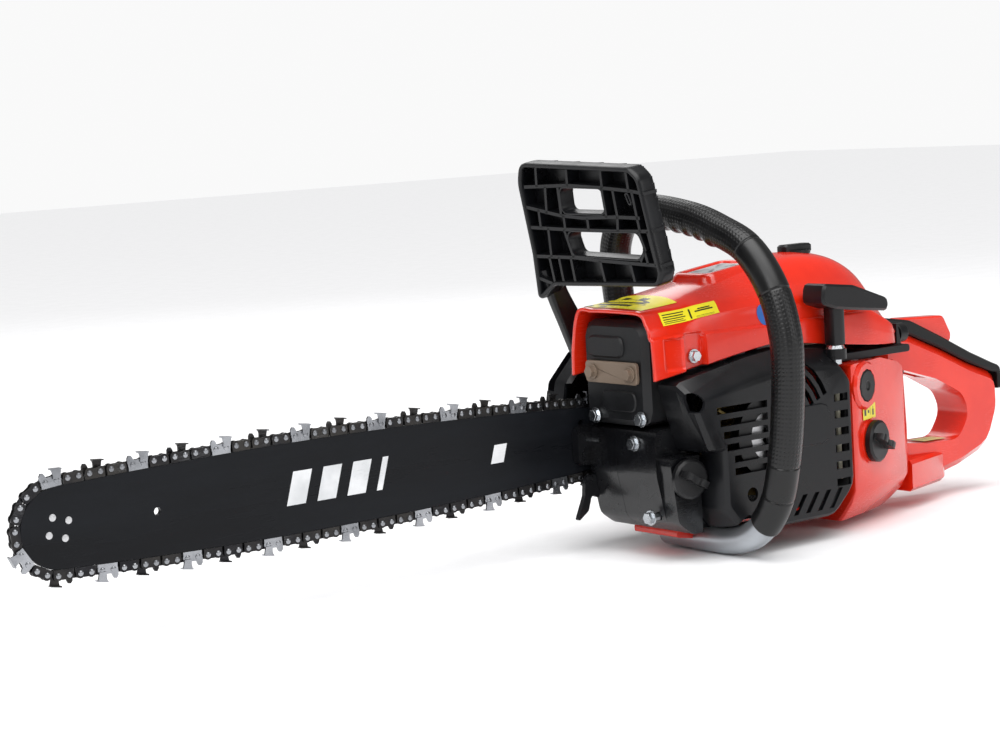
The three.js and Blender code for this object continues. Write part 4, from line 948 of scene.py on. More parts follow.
# ------------------------------------------------------------------ hand guard
@dataclass
class HandGuard:
    """The ribbed brake guard in front of the front handle, on an arm on the bar side."""

    setting: Setting
    lean: float = 0.14
    foot: tuple[float, float] = (-84.0, 192.0)
    depth: float = 15.0
    band: float = 4.2
    rib: float = 2.6
    outline: Points = (
        (84, 0), (60, 14), (-62, 16), (-67, 26), (-58, 98), (-48, 106), (80, 112), (86, 96), (82, 40),
    )
    corners: Sequence[float] = (4, 8, 8, 8, 12, 10, 10, 24, 30)
    windows: Sequence[Points] = (
        ((37, 72), (-13, 71), (-13.5, 90), (36, 91.5)),
        ((32, 39), (-44, 36.5), (-51, 44), (-46.5, 56.5), (37, 57.5)),
        ((-42.5, 79), (-44.5, 79), (-42, 86), (-40, 86)),
    )
    ribs: Sequence[Points] = (
        ((79, 92.5), (27, 93.3), (-13, 91), (-45, 88.4), (-62, 86)),
        ((60.6, 110), (63.4, 92.5)), ((24, 108), (26, 93)), ((-15.4, 106), (-14.4, 91)),
        ((-44, 104), (-44, 88)),
        ((38, 92), (39, 70)), ((-13.5, 91), (-14.2, 68)), ((53, 92.5), (56.5, 71)),
        ((83, 77), (39.7, 69.8), (13.4, 68), (-26, 68.7), (-52, 67.8)),
        ((-26, 89), (-27, 68)), ((-47.3, 88), (-49.8, 57)),
        ((83, 60.6), (37, 59), (-23, 57.8), (-64, 58)),
        ((65.8, 75), (66.5, 60)), ((36.3, 70), (36.9, 59)), ((8.5, 68), (9, 58)), ((-27, 69), (-24.5, 57)),
        ((38.5, 59), (32.5, 37)), ((-48, 57.5), (-52.5, 44), (-45, 35)), ((57.6, 60), (59.3, 37)),
        ((80, 37.5), (31, 37), (1.8, 35), (-68, 32)),
        ((62, 37), (60, 14)), ((50.5, 37), (49, 15)), ((36, 37), (34.8, 15)), ((1.4, 35), (-0.9, 16)),
        ((-33, 33), (-35.5, 17)), ((-51, 45), (-53.2, 33)), ((-58, 58), (-62, 32)), ((80, 20), (60, 15)),
    )

    def at(self, rows: Array) -> Array:
        """Points on the leaning plate: up and forward are turned by the lean about the foot.

        Args:
            rows: (y, height up the plate, depth forward).

        Returns:
            Count by three.
        """
        y, up, forward = rows.T
        sin, cos = math.sin(self.lean), math.cos(self.lean)
        x = self.foot[0] - up * sin - forward * cos
        return np.stack([x, y, self.foot[1] + up * cos - forward * sin], axis=-1)

    def rounded_outline(self, count: int = 260) -> Array:
        """The plate's outline with its corners turned into arcs."""
        return round_corners(self.outline, self.corners, count)

    def lattice(self) -> bpy.types.Object:
        """Outer band, ribs and arm as one moulding."""
        shapes = Shapes()
        edge = self.rounded_outline()
        shapes.grid(self._band(edge), around=True, along=True)
        for line in self.ribs:
            shapes.prism(strip(line, self.rib), 2.0, self.depth - 1.0, self.at)
        for window, turn in zip(self.windows, (5, 6, 1.2)):
            rim = round_corners(window, [turn] * len(window), 90)
            shapes.grid(self._collar(rim), around=True, along=True)
        shapes.grid(self._arm(), around=True)
        piece = shapes.build("brake_guard", self.setting, SHELL.material(), 40)
        return self.setting.settle(piece, "guard", "black_shell", "hand_guard")

    def back(self) -> bpy.types.Object:
        """The thin sheet behind the ribs, open at the windows."""
        y, up = np.meshgrid(np.arange(-70, 90, 1.25), np.arange(-2, 114, 1.25), indexing="ij")
        solid = inside(y, up, self.rounded_outline())
        for window in self.windows:
            solid &= ~inside(y, up, np.asarray(window, float))
        cells = solid[:-1, :-1] & solid[1:, :-1] & solid[1:, 1:] & solid[:-1, 1:]
        index = np.arange(y.size).reshape(y.shape)
        quads = np.stack([index[:-1, :-1], index[1:, :-1], index[1:, 1:], index[:-1, 1:]], axis=-1)[cells]
        used, faces = np.unique(quads, return_inverse=True)
        flat = np.stack([y.ravel(), up.ravel(), np.full(y.size, 1.4)], axis=-1)[used]
        shapes = Shapes()
        shapes.add(self.at(flat), faces.reshape(-1, 4).tolist())
        piece = shapes.build("brake_guard_back", self.setting, SHELL.material())
        thick = piece.modifiers.new("thickness", "SOLIDIFY")
        thick.thickness = 2.2 * MM
        thick.offset = 0
        return self.setting.settle(piece, "guard", "black_shell")

    def _band(self, edge: Array) -> Array:
        """The outer band: a round-cornered box section carried along the outline.

        Args:
            edge: the outline.

        Returns:
            Rows by columns by three.
        """
        normal = inward(edge)
        section = squircle(self.band / 2, self.depth / 2, 5.0, 20)[0]
        inset = section[:, 0] + self.band / 2
        flat = edge[:, None, :] + normal[:, None, :] * inset[None, :, None]
        depth = np.broadcast_to(section[:, 1] + self.depth / 2, flat.shape[:2])
        rows = np.concatenate([flat, depth[..., None]], axis=-1)
        return self.at(rows.reshape(-1, 3)).reshape(*flat.shape[:2], 3)

    def _collar(self, rim: Array) -> Array:
        """A window's rounded lining: a narrow box section carried round its rim.

        Args:
            rim: the window's outline.

        Returns:
            Rows by columns by three.
        """
        normal = inward(rim)
        section = squircle(1.2, (self.depth - 1.5) / 2, 4.0, 16)[0]
        flat = rim[:, None, :] - normal[:, None, :] * (section[:, 0] + 0.6)[None, :, None]
        depth = np.broadcast_to(section[:, 1] + (self.depth - 1.5) / 2 + 0.6, flat.shape[:2])
        rows = np.concatenate([flat, depth[..., None]], axis=-1)
        return self.at(rows.reshape(-1, 3)).reshape(*flat.shape[:2], 3)

    def _arm(self) -> Array:
        """The arm down to the pivot: a box section whose width follows the CAD arm's."""
        line = even_curve(((-91.5, 218), (-84, 196), (-71, 170), (-60, 146), (-58, 129)), 60)
        share = np.linspace(0, 1, 60)
        half = np.interp(share, (0, 0.25, 0.6, 0.85, 1.0), (8.5, 8.5, 10.5, 11.5, 8.0))
        slope = np.gradient(line, axis=0)
        slope /= np.linalg.norm(slope, axis=1, keepdims=True)
        section = squircle(half, np.full(60, 5.1), 5.0, 28)
        x = line[:, :1] - section[..., 0] * slope[:, 1:]
        z = line[:, 1:] + section[..., 0] * slope[:, :1]
        return np.stack([x, 78.2 + section[..., 1], z], axis=-1)


def inward(outline: Array) -> Array:
    """Unit normals that point into a closed outline, from its slope and the sign of its area.

    Args:
        outline: count by two.

    Returns:
        Count by two.
    """
    slope = np.roll(outline, -1, axis=0) - np.roll(outline, 1, axis=0)
    slope /= np.linalg.norm(slope, axis=1, keepdims=True) + 1e-12
    normal = np.stack([-slope[:, 1], slope[:, 0]], axis=-1)
    after = np.roll(outline, -1, axis=0)
    area = np.sum(outline[:, 0] * after[:, 1] - after[:, 0] * outline[:, 1])
    return normal if area > 0 else -normal


def inside(a: Array, b: Array, outline: Array) -> Array:
    """Whether points lie in an outline: an odd number of its edges is crossed on the way out.

    Args:
        a, b: the points' coordinates.
        outline: count by two.

    Returns:
        A mask with the points' shape.
    """
    start, stop = outline, np.roll(outline, -1, axis=0)
    spans = (start[:, 1] > b[..., None]) != (stop[:, 1] > b[..., None])
    rise = stop[:, 1] - start[:, 1]
    share = (b[..., None] - start[:, 1]) / np.where(rise == 0, 1e-9, rise)
    cross = start[:, 0] + share * (stop[:, 0] - start[:, 0])
    return np.sum(spans & (a[..., None] < cross), axis=-1) % 2 == 1


def strip(line: Points, width: float) -> Array:
    """The outline of a band along a polyline: half the width to each side of it.

    Args:
        line: the polyline.
        width: across the band.

    Returns:
        Count by two.
    """
    line = np.asarray(line, float)
    slope = np.gradient(line, axis=0)
    slope /= np.linalg.norm(slope, axis=1, keepdims=True)
    side = np.stack([-slope[:, 1], slope[:, 0]], axis=-1) * width / 2
    return np.vstack([line - side, (line + side)[::-1]])


def round_corners(corners: Points, radii: Sequence[float], count: int) -> Array:
    """Evenly spaced points along a polygon whose corners are arcs.

    Each arc touches both edges at radius / tan(half the corner's angle) from the corner, or at
    half the shorter edge where that is less.

    Args:
        corners: the polygon.
        radii: one for each corner.
        count: how many points come back.

    Returns:
        count by two.
    """
    points = np.asarray(corners, float)
    before, after = np.roll(points, 1, axis=0) - points, np.roll(points, -1, axis=0) - points
    reach_limit = 0.49 * np.minimum(np.linalg.norm(before, axis=1), np.linalg.norm(after, axis=1))
    before /= np.linalg.norm(before, axis=1, keepdims=True)
    after /= np.linalg.norm(after, axis=1, keepdims=True)
    half = np.arccos(np.clip(np.sum(before * after, axis=1), -1, 1)) / 2
    reach = np.minimum(np.asarray(radii, float) / np.tan(half), reach_limit)
    t = np.linspace(0, 1, 12)[None, :, None]
    start, stop = points + before * reach[:, None], points + after * reach[:, None]
    weight = np.sin(half)[:, None, None]
    bend = (1 - t) ** 2 * start[:, None] + 2 * t * (1 - t) * weight * points[:, None] + t**2 * stop[:, None]
    arcs = (bend / ((1 - t) ** 2 + 2 * t * (1 - t) * weight + t**2)).reshape(-1, 2)
    closed = np.vstack([arcs, arcs[:1]])
    length = np.concatenate([[0.0], np.cumsum(np.linalg.norm(np.diff(closed, axis=0), axis=1))])
    at = np.linspace(0, length[-1], count, endpoint=False)
    return np.stack([np.interp(at, length, closed[:, k]) for k in range(2)], axis=-1)


# ------------------------------------------------------------------ top cover
@dataclass
class TopCover:
    """The orange-red engine cover with its badge frame, badge and stickers."""

    setting: Setting
    stations: Points = (  # x, ridge z, shoulder z, starter-side y, lower edge z, bar-side y
        (-95, 186, 183, -46, 134, 52), (-60, 192, 185, -48, 139, 50), (-44, 195, 187, -49, 141.5, 49),
        (-10, 201, 190, -51, 147, 49), (25, 208, 192, -52, 150.5, 49), (60, 212, 191, -52, 147, 49),
        (95, 212.5, 188, -52, 142.5, 49), (125, 207, 180, -51, 139, 48), (150, 195, 168, -48, 136.5, 46),
        (166, 180, 158, -44, 135.5, 42), (174, 164, 150, -38, 135, 36),
    )
    wall: float = 2.4
    crease: float = 165.0  # height of the step along the starter side
    step: float = 2.2
    rows: int = 230
    columns: int = 168
    badge: Sequence[float] = (-14, 42, -20, 22)
    tilt: float = 0.12  # of the badge, falling towards the front

    def sections(self) -> Array:
        """Control points of each station's arch, stations by ten by three."""
        x, ridge, shoulder, near, low, far = np.asarray(self.stations, float).T
        mid = (low + shoulder) / 2
        y = [near, near + 0.6, near + 2.0, near + 5.5, near + 14, near + 34, far - 28, far - 10, far - 2, far]
        z = [low, low + 0.36 * (shoulder - low), low + 0.7 * (shoulder - low), shoulder - 7, shoulder + 1.5,
             ridge, ridge, shoulder + 1.5, mid, low]
        return np.stack([np.stack([x, a, b], axis=-1) for a, b in zip(y, z)], axis=1)

    def surface(self, along: Array, across: Array) -> Array:
        """The cover's outer face: the Catmull-Rom weights of both directions on the control points.

        The starter side then steps in above the crease, and sinks round the side screw.

        Args:
            along: station parameters, 0 to 10.
            across: arch parameters, 0 to 9; the two arrays' shapes combine.

        Returns:
            The points.
        """
        controls = self.sections()
        first, second = weights_at(controls.shape[0], along), weights_at(controls.shape[1], across)
        points = np.einsum("...i,...j,ijk->...k", first, second, controls)
        x, y, z = points[..., 0].copy(), points[..., 1].copy(), points[..., 2].copy()
        near = 1 - smooth(-40, -24, y)
        inwards = self.step * smooth(self.crease, self.crease + 1.3, z) * (1 - smooth(174, 188, z)) * near
        flange = self.step * smooth(-84, -82.5, x) * (1 - smooth(-66, -64.5, x))
        inwards += flange * smooth(139, 142, z) * (1 - smooth(self.crease - 1.3, self.crease, z)) * near
        y += inwards
        pocket = rounded_box_mask(x, z, (-63, -45, 120, 166), 3, 1.4) * near
        y += (-43.4 - y) * pocket
        return np.stack([x, y, z], axis=-1)

    def shell(self) -> bpy.types.Object:
        """The skin, closed at the back, with its thickness inwards."""
        along = np.linspace(0, 10, self.rows)
        across = np.linspace(0, 9, self.columns)
        body = self.surface(along[:, None], across[None])
        last = body[-1]
        middle = np.array([0, np.mean(last[[0, -1], 1]), np.min(last[:, 2])])
        share = np.array([0.985, 0.955, 0.9, 0.6, 0.3, 0.02])[:, None, None]
        end = (last - middle) * share + middle
        end[..., 0] = last[None, :, 0] + np.array([0.9, 1.5, 1.8, 1.9, 1.9, 1.9])[:, None]
        shapes = Shapes()
        shapes.grid(np.concatenate([body, end]), around=False, ends=False)
        piece = shapes.build("engine_cover", self.setting, RED.material(), 50)
        thick = piece.modifiers.new("thickness", "SOLIDIFY")
        thick.thickness = self.wall * MM
        thick.offset = -1
        return self.setting.settle(piece, "root", "red_shell", "top_cover")

    def frame(self) -> bpy.types.Object:
        """The raised frame round the badge: one section carried round a rounded rectangle."""
        x0, x1, y0, y1 = self.badge
        edge = round_corners(((x0, y0), (x1, y0), (x1, y1), (x0, y1)), [9] * 4, 160)
        normal = inward(edge)
        inset = np.array([-9.0, -5.0, -1.6, 0.4, 1.8, 4.6, 5.4, 5.9, 6.1, 6.4, 14.0])
        height = np.array([197.0, 203.0, 210.4, 212.9, 213.4, 213.4, 213.0, 212.2, 210.6, 209.9, 209.8])
        flat = edge[:, None, :] + normal[:, None, :] * inset[None, :, None]
        raised = height + self.tilt * (flat[..., 0] - x1)
        points = np.concatenate([flat, raised[..., None]], axis=-1)
        shapes = Shapes()
        shapes.grid(np.swapaxes(points, 0, 1), around=True)
        piece = shapes.build("badge_frame", self.setting, RED.material(), 50)
        return self.setting.settle(piece, "root", "red_shell")

    def plate(self) -> bpy.types.Object:
        """The blank badge: a slightly domed plate in the frame's recess."""
        x0, x1, y0, y1 = self.badge
        edge = round_corners(((x0, y0), (x1, y0), (x1, y1), (x0, y1)), [9] * 4, 160)
        inset = np.array([6.6, 6.6, 7.0, 7.8, 10.0, 14.0])
        height = np.array([209.9, 211.2, 211.9, 212.1, 212.2, 212.25])
        flat = edge[:, None, :] + inward(edge)[:, None, :] * inset[None, :, None]
        raised = height + self.tilt * (flat[..., 0] - x1)
        points = np.concatenate([flat, raised[..., None]], axis=-1)
        shapes = Shapes()
        shapes.grid(np.swapaxes(points, 0, 1), around=True)
        piece = shapes.build("blank_badge", self.setting, PLATE.material(), 50)
        return self.setting.settle(piece, "root", "machined_steel", "cover_badge")

    def sticker(self, name: str, finish: Finish, along: Sequence[float], across: Sequence[float],
                disc: bool = False) -> bpy.types.Object:
        """A sticker that lies on the skin.

        Args:
            name: the piece's name.
            finish: its print.
            along: x of its two ends.
            across: arch parameters of its two edges.
            disc: whether the oblong is drawn in to a disc.

        Returns:
            The piece.
        """
        s, t = np.meshgrid(np.linspace(-1, 1, 40), np.linspace(-1, 1, 28), indexing="ij")
        if disc:
            s, t = s * np.sqrt(1 - t**2 / 2), t * np.sqrt(1 - s**2 / 2)
        grid = self.patch(np.interp(s, (-1, 1), along), across[0] + (t + 1) / 2 * (across[1] - across[0]))
        shapes = Shapes()
        shapes.grid(grid, around=False, ends=False)
        piece = shapes.build(name, self.setting, finish.material())
        lay_out(piece, grid.shape[0], grid.shape[1], (1, 1), False)
        return self.setting.settle(piece, "root", "grey_plate")

    def patch(self, x: Array, across: Array) -> Array:
        """Points a little outside the skin at x and arch parameters, both in one grid's shape."""
        fine = np.linspace(0, 10, 800)
        x_of = self.surface(fine, np.full(800, 4.5))[:, 0]
        skin = self.surface(np.interp(x, x_of, fine), across)
        normal = np.cross(np.gradient(skin, axis=0), np.gradient(skin, axis=1))
        normal /= np.linalg.norm(normal, axis=-1, keepdims=True) + 1e-12
        outwards = np.sign(np.sum(normal * (skin - [0, 0, 120]), axis=-1, keepdims=True))
        return skin + normal * outwards * 0.35


# ------------------------------------------------------------------ chain
@dataclass
class Chain:
    """The saw chain: tie straps, cutters, drive links and rivets on one loop."""

    setting: Setting
    rivets: int = 152
    nose_x: float = -545.0
    nose_radius: float = 32.27
    drive_radius: float = 18.5
    belly: float = 37.2
    belly_x: float = -343.0
    edge_radius: float = 4091.0
    tail_x: float = -40.0
    phase: float = 0.25  # of a pitch, from the nose's foremost point to the first rivet

    def rivet_line(self) -> Array:
        """The loop of (x, z, normal x, normal z), from the nose's foremost point over the top."""
        upper_end = math.pi / 2 - math.atan2(self.nose_x - self.belly_x, self.edge_radius)
        t = np.linspace(math.pi, upper_end, 80)
        nose = np.stack([self.nose_x + self.nose_radius * np.cos(t), self.nose_radius * np.sin(t),
                         np.cos(t), np.sin(t)], axis=-1)
        x = np.linspace(nose[-1, 0], self.tail_x, 160)[1:]
        slope = np.arctan2(x - self.belly_x, self.edge_radius)
        z = self.belly - (x - self.belly_x) ** 2 / (2 * self.edge_radius)
        edge = np.stack([x, z, np.sin(slope), np.cos(slope)], axis=-1)
        angle = 0.15
        for _ in range(20):
            touch = self.drive_radius * np.array([math.sin(angle), math.cos(angle)])
            angle = math.atan2(z[-1] - touch[1], touch[0] - self.tail_x)
        t = np.linspace(math.pi / 2 - angle, 0, 60)
        round_drive = np.stack([np.cos(t), np.sin(t)], axis=-1)
        drive = np.hstack([self.drive_radius * round_drive, round_drive])
        top = np.vstack([nose, edge, drive])
        return np.vstack([top, (top * [1, -1, 1, -1])[::-1][1:]])

    def places(self, pitches: Array) -> tuple[Array, Array]:
        """Where links stand at distances counted in pitches, and how they lie.

        Args:
            pitches: the distances from the nose's foremost point.

        Returns:
            The places, and for each the directions along the chain, across it and outwards.
        """
        line = self.rivet_line()
        length = np.concatenate([[0.0], np.cumsum(np.linalg.norm(np.diff(line[:, :2], axis=0), axis=1))])
        at = (np.asarray(pitches) % self.rivets) * length[-1] / self.rivets
        x, z, nx, nz = (np.interp(at, length, line[:, k]) for k in range(4))
        size = np.hypot(nx, nz)
        nx, nz = nx / size, nz / size
        zero, one = np.zeros_like(x), np.ones_like(x)
        spots = np.stack([x, BAR_PLANE * one, z + CRANK_HEIGHT], axis=-1)
        axes = np.stack([np.stack([nz, zero, -nx], -1), np.stack([zero, one, zero], -1),
                         np.stack([nx, zero, nz], -1)], axis=1)
        return spots, axes

    @staticmethod
    def _flat(rows: Array) -> Array:
        """Outline rows of (along, out, across) as (along, across, out)."""
        return rows[:, [0, 2, 1]]

    def plate(self, outline: Array, low: float, high: float) -> Shapes:
        """A link plate.

        Args:
            outline: its shape along the chain and outwards.
            low, high: its two faces across the chain.

        Returns:
            The plate.
        """
        shapes = Shapes()
        shapes.prism(np.asarray(outline, float), low, high, self._flat)
        return shapes

    def strap_outline(self) -> Array:
        """A tie strap: round over each rivet, waisted between them, flat where it rides the rail."""
        half, radius, foot = 4.13, 3.5, -4.1
        right = np.linspace(-0.5, 2.2, 8)
        left = math.pi - right[::-1]
        first = np.stack([half + radius * np.cos(right), radius * np.sin(right)], axis=-1)
        second = np.stack([-half + radius * np.cos(left), radius * np.sin(left)], axis=-1)
        return np.vstack([[(half + 3.2, foot)], first, second, [(-half - 3.2, foot)]])

    def straps(self) -> bpy.types.Object:
        """Tie straps both sides, and the straps under the cutters."""
        shapes = Shapes()
        side = np.arange(1, self.rivets, 2)
        spots, axes = self.places(side + 0.5 + self.phase)
        for low, high in ((-2.3, -0.85), (0.85, 2.3)):
            shapes.repeat(self.plate(self.strap_outline(), low, high), spots, axes)
        tang = [(-4.1, 1.9), (-2.6, -1.6), (-0.9, -4.0), (0.9, -4.0), (2.6, -1.6), (4.1, 1.9), (2, 2.8),
                (-2, 2.8)]
        spots, axes = self.places(np.arange(0, self.rivets, 2) + 0.5 + self.phase)
        clear = (spots[:, 0] > self.nose_x + 34) & (spots[:, 0] < self.tail_x - 6)
        shapes.repeat(self.plate(tang, -0.62, 0.62), spots[clear], axes[clear])
        short = [(-4.1, 1.9), (-3.4, -0.5), (3.4, -0.5), (4.1, 1.9), (2, 2.8), (-2, 2.8)]
        shapes.repeat(self.plate(short, -0.62, 0.62), spots[~clear], axes[~clear])
        piece = shapes.build("chain_links", self.setting, CHAIN_DARK_AND_PAINTED_SHADE.material(), 30)
        return self.setting.settle(piece, "root", "chain_steel", "saw_chain")

    def rivet_heads(self) -> bpy.types.Object:
        """The rivets: low domes on both sides."""
        ring = np.array([[2.15, 2.0], [2.0, 2.75], [1.3, 3.05], [0.3, 3.1]])
        angle = 2 * np.pi * np.arange(10) / 10
        shapes = Shapes()
        for sign in (-1, 1):
            head = Shapes()
            grid = np.stack([np.outer(ring[:, 0], np.cos(angle)), np.repeat(sign * ring[:, 1:], 10, axis=1),
                             np.outer(ring[:, 0], np.sin(angle))], axis=-1)
            head.grid(grid)
            shapes.repeat(head, *self.places(np.arange(self.rivets) + self.phase))
        piece = shapes.build("chain_rivets", self.setting, CHAIN_BRIGHT.material(), 40)
        return self.setting.settle(piece, "root", "chain_steel", "saw_chain")

    def cutter(self, sign: int) -> Shapes:
        """One cutter: depth gauge, side plate and the top plate bent over it, on a strap.

        Args:
            sign: the side that it leans to.

        Returns:
            The cutter, in link coordinates.
        """
        shapes = Shapes()
        gauge = [(-8.0, 1.0), (-3.2, 1.0), (-3.6, 4.4), (-4.8, 6.3), (-6.6, 6.5), (-7.9, 4.6)]
        side = [(1.4, 1.0), (7.0, 1.0), (7.6, 4.0), (8.4, 7.2), (0.9, 8.2), (1.6, 5.0)]
        top = [(0.6, 7.3), (8.7, 6.5), (8.6, 7.3), (0.5, 8.4)]
        for outline, low, high in ((gauge, 0.85, 2.3), (side, 2.2, 3.6), (top, -0.4, 3.8)):
            ends = sorted((sign * low, sign * high))
            shapes.prism(np.asarray(outline), ends[0], ends[1], self._flat)
        ends = sorted((sign * 0.8, sign * 2.36))
        shapes.prism(self.strap_outline() * 1.01, ends[0], ends[1], self._flat)
        return shapes

    def cutters(self, sign: int, name: str, finish: Finish) -> bpy.types.Object:
        """Every cutter that leans to one side.

        Args:
            sign: the side.
            name: the piece's name.
            finish: its metal; the dark steel on the far-leaning side is painted shade.

        Returns:
            The piece.
        """
        first = 5 if sign < 0 else 9
        shapes = Shapes()
        shapes.repeat(self.cutter(sign), *self.places(np.arange(first, self.rivets, 8) + 0.5 + self.phase))
        piece = shapes.build(name, self.setting, finish.material(), 30)
        return self.setting.settle(piece, "root", "chain_steel", "saw_chain")


# ------------------------------------------------------------------ flat stickers
@dataclass
class FlatStickers:
    """Stickers that lie on flat faces."""

    setting: Setting
    lift: float = 0.35

    def lay(self, name: str, finish: Finish, middle: Sequence[float], along: Sequence[float],
            up: Sequence[float], size: Sequence[float]) -> bpy.types.Object:
        """An oblong, its face along x up: the middle, plus shares of the two directions.

        Args:
            name: the piece's name.
            finish: its print.
            middle: on the face that it lies on.
            along, up: the sticker's directions.
            size: its width and height.

        Returns:
            The piece.
        """
        s, t = np.meshgrid(np.linspace(-0.5, 0.5, 12), np.linspace(-0.5, 0.5, 8), indexing="ij")
        face = np.cross(along, up)
        spot = np.asarray(middle) + face * self.lift
        grid = spot + s[..., None] * size[0] * np.asarray(along) + t[..., None] * size[1] * np.asarray(up)
        rows = np.arange(grid.shape[0] * grid.shape[1]).reshape(grid.shape[:2])
        quads = np.stack([rows[:-1, :-1], rows[1:, :-1], rows[1:, 1:], rows[:-1, 1:]], axis=-1)
        shapes = Shapes()
        shapes.vertices.append(grid.reshape(-1, 3))
        shapes.faces += quads.reshape(-1, 4).tolist()
        piece = shapes.build(name, self.setting, finish.material())
        lay_out(piece, grid.shape[0], grid.shape[1], (1, 1), False)
        return self.setting.settle(piece, "root", "grey_plate")


# ------------------------------------------------------------------ bar
@dataclass
class BarDress:
    """What is on the bar's faces: nose rivets and plain slanted stripes."""

    setting: Setting
    nose: tuple[float, float] = (-545.0, CRANK_HEIGHT)
    half: float = 2.0
    prints: Points = ((-366, 16, 12), (-340, 16, 12), (-314, 16, 12), (-288, 5, 12), (-182, 12, 7))
    print_faces: tuple[float, float] = (-0.02, 0.1)  # of the print, out from the bar's face
    slant: float = 0.6

    def rivets(self) -> bpy.types.Object:
        """Four rivets round the nose on both faces: discs whose faces fall off to the edge."""
        radius = np.array([2.6, 2.5, 2.0, 1.0, 0.1])
        height = np.array([-0.3, 0.18, 0.34, 0.4, 0.42])
        angle = 2 * np.pi * np.arange(24) / 24
        shapes = Shapes()
        for turn in np.arange(4) * np.pi / 2 + 0.5:
            for sign in (-1, 1):
                x = self.nose[0] + 8.6 * math.cos(turn) + np.outer(radius, np.cos(angle))
                z = self.nose[1] + 8.6 * math.sin(turn) + np.outer(radius, np.sin(angle))
                y = np.repeat((BAR_PLANE + sign * (self.half + height))[:, None], 24, axis=1)
                shapes.grid(np.stack([x, y, z], axis=-1))
        piece = shapes.build("bar_nose_rivets", self.setting, STEEL.material(), 40)
        return self.setting.settle(piece, "root", "machined_steel")

    def stripes(self) -> bpy.types.Object:
        """Slanted stripes, a tenth of a millimetre thick, in place of the maker's print."""
        shapes = Shapes()
        for sign in (-1, 1):
            for x, width, height in self.prints:
                low, high = CRANK_HEIGHT - height, CRANK_HEIGHT + height
                lean = self.slant * height
                far = x + width
                outline = np.array([(x, low), (far, low), (far + lean, high), (x + lean, high)], float)
                y = sorted(BAR_PLANE + sign * (self.half + face) for face in self.print_faces)
                shapes.prism(outline, y[0], y[1], lambda rows: rows[:, [0, 2, 1]])
        piece = shapes.build("bar_stripes", self.setting, PRINT_WHITE.material())
        return self.setting.settle(piece, "root", "grey_plate")


# ------------------------------------------------------------------ carried-over parts
@dataclass(frozen=True)
class Shell:
    """A CAD node that is shown with rolled edges."""

    node: str
    body: str
    slot: str
    finish: Finish
    edge: float = 0.8
    segments: int = 2


SHELLS = (
    Shell("starter_cover", "root", "black_shell", SHELL, 0.7),
    Shell("rear_handle", "root", "red_shell", RED, 2.2, 4),
    Shell("rear_grip", "root", "black_rubber", RUBBER, 1.2, 3),
    Shell("fuel_tank", "root", "red_shell", RED, 1.4, 3),
    Shell("clutch_cover", "root", "black_shell", SHELL, 1.4, 3),
    Shell("muffler", "root", "muffler_black", MUFFLER, 1.6, 3),
    Shell("muffler_bracket", "root", "heat_browned_steel", BROWNED, 0.6),
    Shell("crankcase_starter_side", "root", "case_black", CASTING, 0.9),
    Shell("crankcase_bar_side", "root", "case_black", CASTING, 0.9),
    Shell("spike_bumper", "root", "case_black", CASTING, 0.6),
    Shell("air_box", "root", "black_trim", TRIM, 0.7),
    Shell("starter_grip", "pull", "black_trim", TRIM, 1.5, 3),
    Shell("cover_knob", "cover_latch", "black_trim", TRIM, 0.8),
    Shell("throttle_lockout", "lockout", "red_shell", RED, 1.6, 3),
    Shell("throttle_trigger", "trigger", "black_trim", TRIM, 1.2, 3),
    Shell("oil_cap", "oil_stopper", "black_trim", TRIM, 0.5),
    Shell("fuel_cap", "fuel_stopper", "black_trim", TRIM, 0.5),
    Shell("av_plug", "root", "black_rubber", RUBBER, 0.5),
    Shell("choke_knob", "choke", "black_trim", TRIM, 0.8),
    Shell("ignition_switch", "switch", "red_shell", RED, 0.7),
    Shell("crankcase_bolt_1", "root", "zinc", ZINC, 0.3),
    Shell("crankcase_bolt_2", "root", "zinc", ZINC, 0.3),
    Shell("muffler_bolt_1", "root", "zinc", ZINC, 0.3),
    Shell("muffler_bolt_2", "root", "zinc", ZINC, 0.3),
    Shell("bracket_bolt_1", "root", "heat_browned_steel", BROWNED, 0.3),
    Shell("bracket_bolt_2", "root", "heat_browned_steel", BROWNED, 0.3),
    Shell("cover_screw", "root", "zinc", ZINC, 0.3),
    Shell("bar_nut_1", "root", "zinc", ZINC, 0.4),
    Shell("bar_nut_2", "root", "zinc", ZINC, 0.4),
)
KEPT = {
    "guide_bar": LACQUER, "nose_sprocket": STEEL, "rim_sprocket": STEEL, "clutch_drum": STEEL,
    "clutch_shoes": STEEL, "crankshaft": STEEL, "bearing_starter_side": STEEL, "bearing_bar_side": STEEL,
    "brake_band": STEEL, "bar_stud_1": ZINC, "bar_stud_2": ZINC, "rope_guide": ZINC, "flywheel": BRASS,
    "cylinder": ALLOY, "piston": ALLOY, "carburettor": ALLOY, "oil_pump": ALLOY, "spark_plug": CERAMIC,
    "spark_plug_boot": RUBBER, "intake_boot": RUBBER, "ignition_coil": TRIM, "air_filter": FELT,
    "starter_reel": TRIM, "recoil_spring": STEEL, "starter_rope": CREAM,
}


@dataclass
class CarriedOver:
    """Dresses the CAD's own nodes: some as softened copies, the rest as they are."""

    setting: Setting

    def dress(self) -> None:
        """Gives every remaining CAD node its finish."""
        nodes = self.setting.frame["nodes"]
        for shell in SHELLS:
            piece = softened(nodes[shell.node], shell.edge, shell.segments)
            piece.data.materials.append(shell.finish.material())
            self.setting.settle(piece, shell.body, shell.slot, shell.node)
        for name, finish in KEPT.items():
            nodes[name].data.materials.clear()
            nodes[name].data.materials.append(finish.material())
            LOG.info("%s keeps its CAD shape", name)


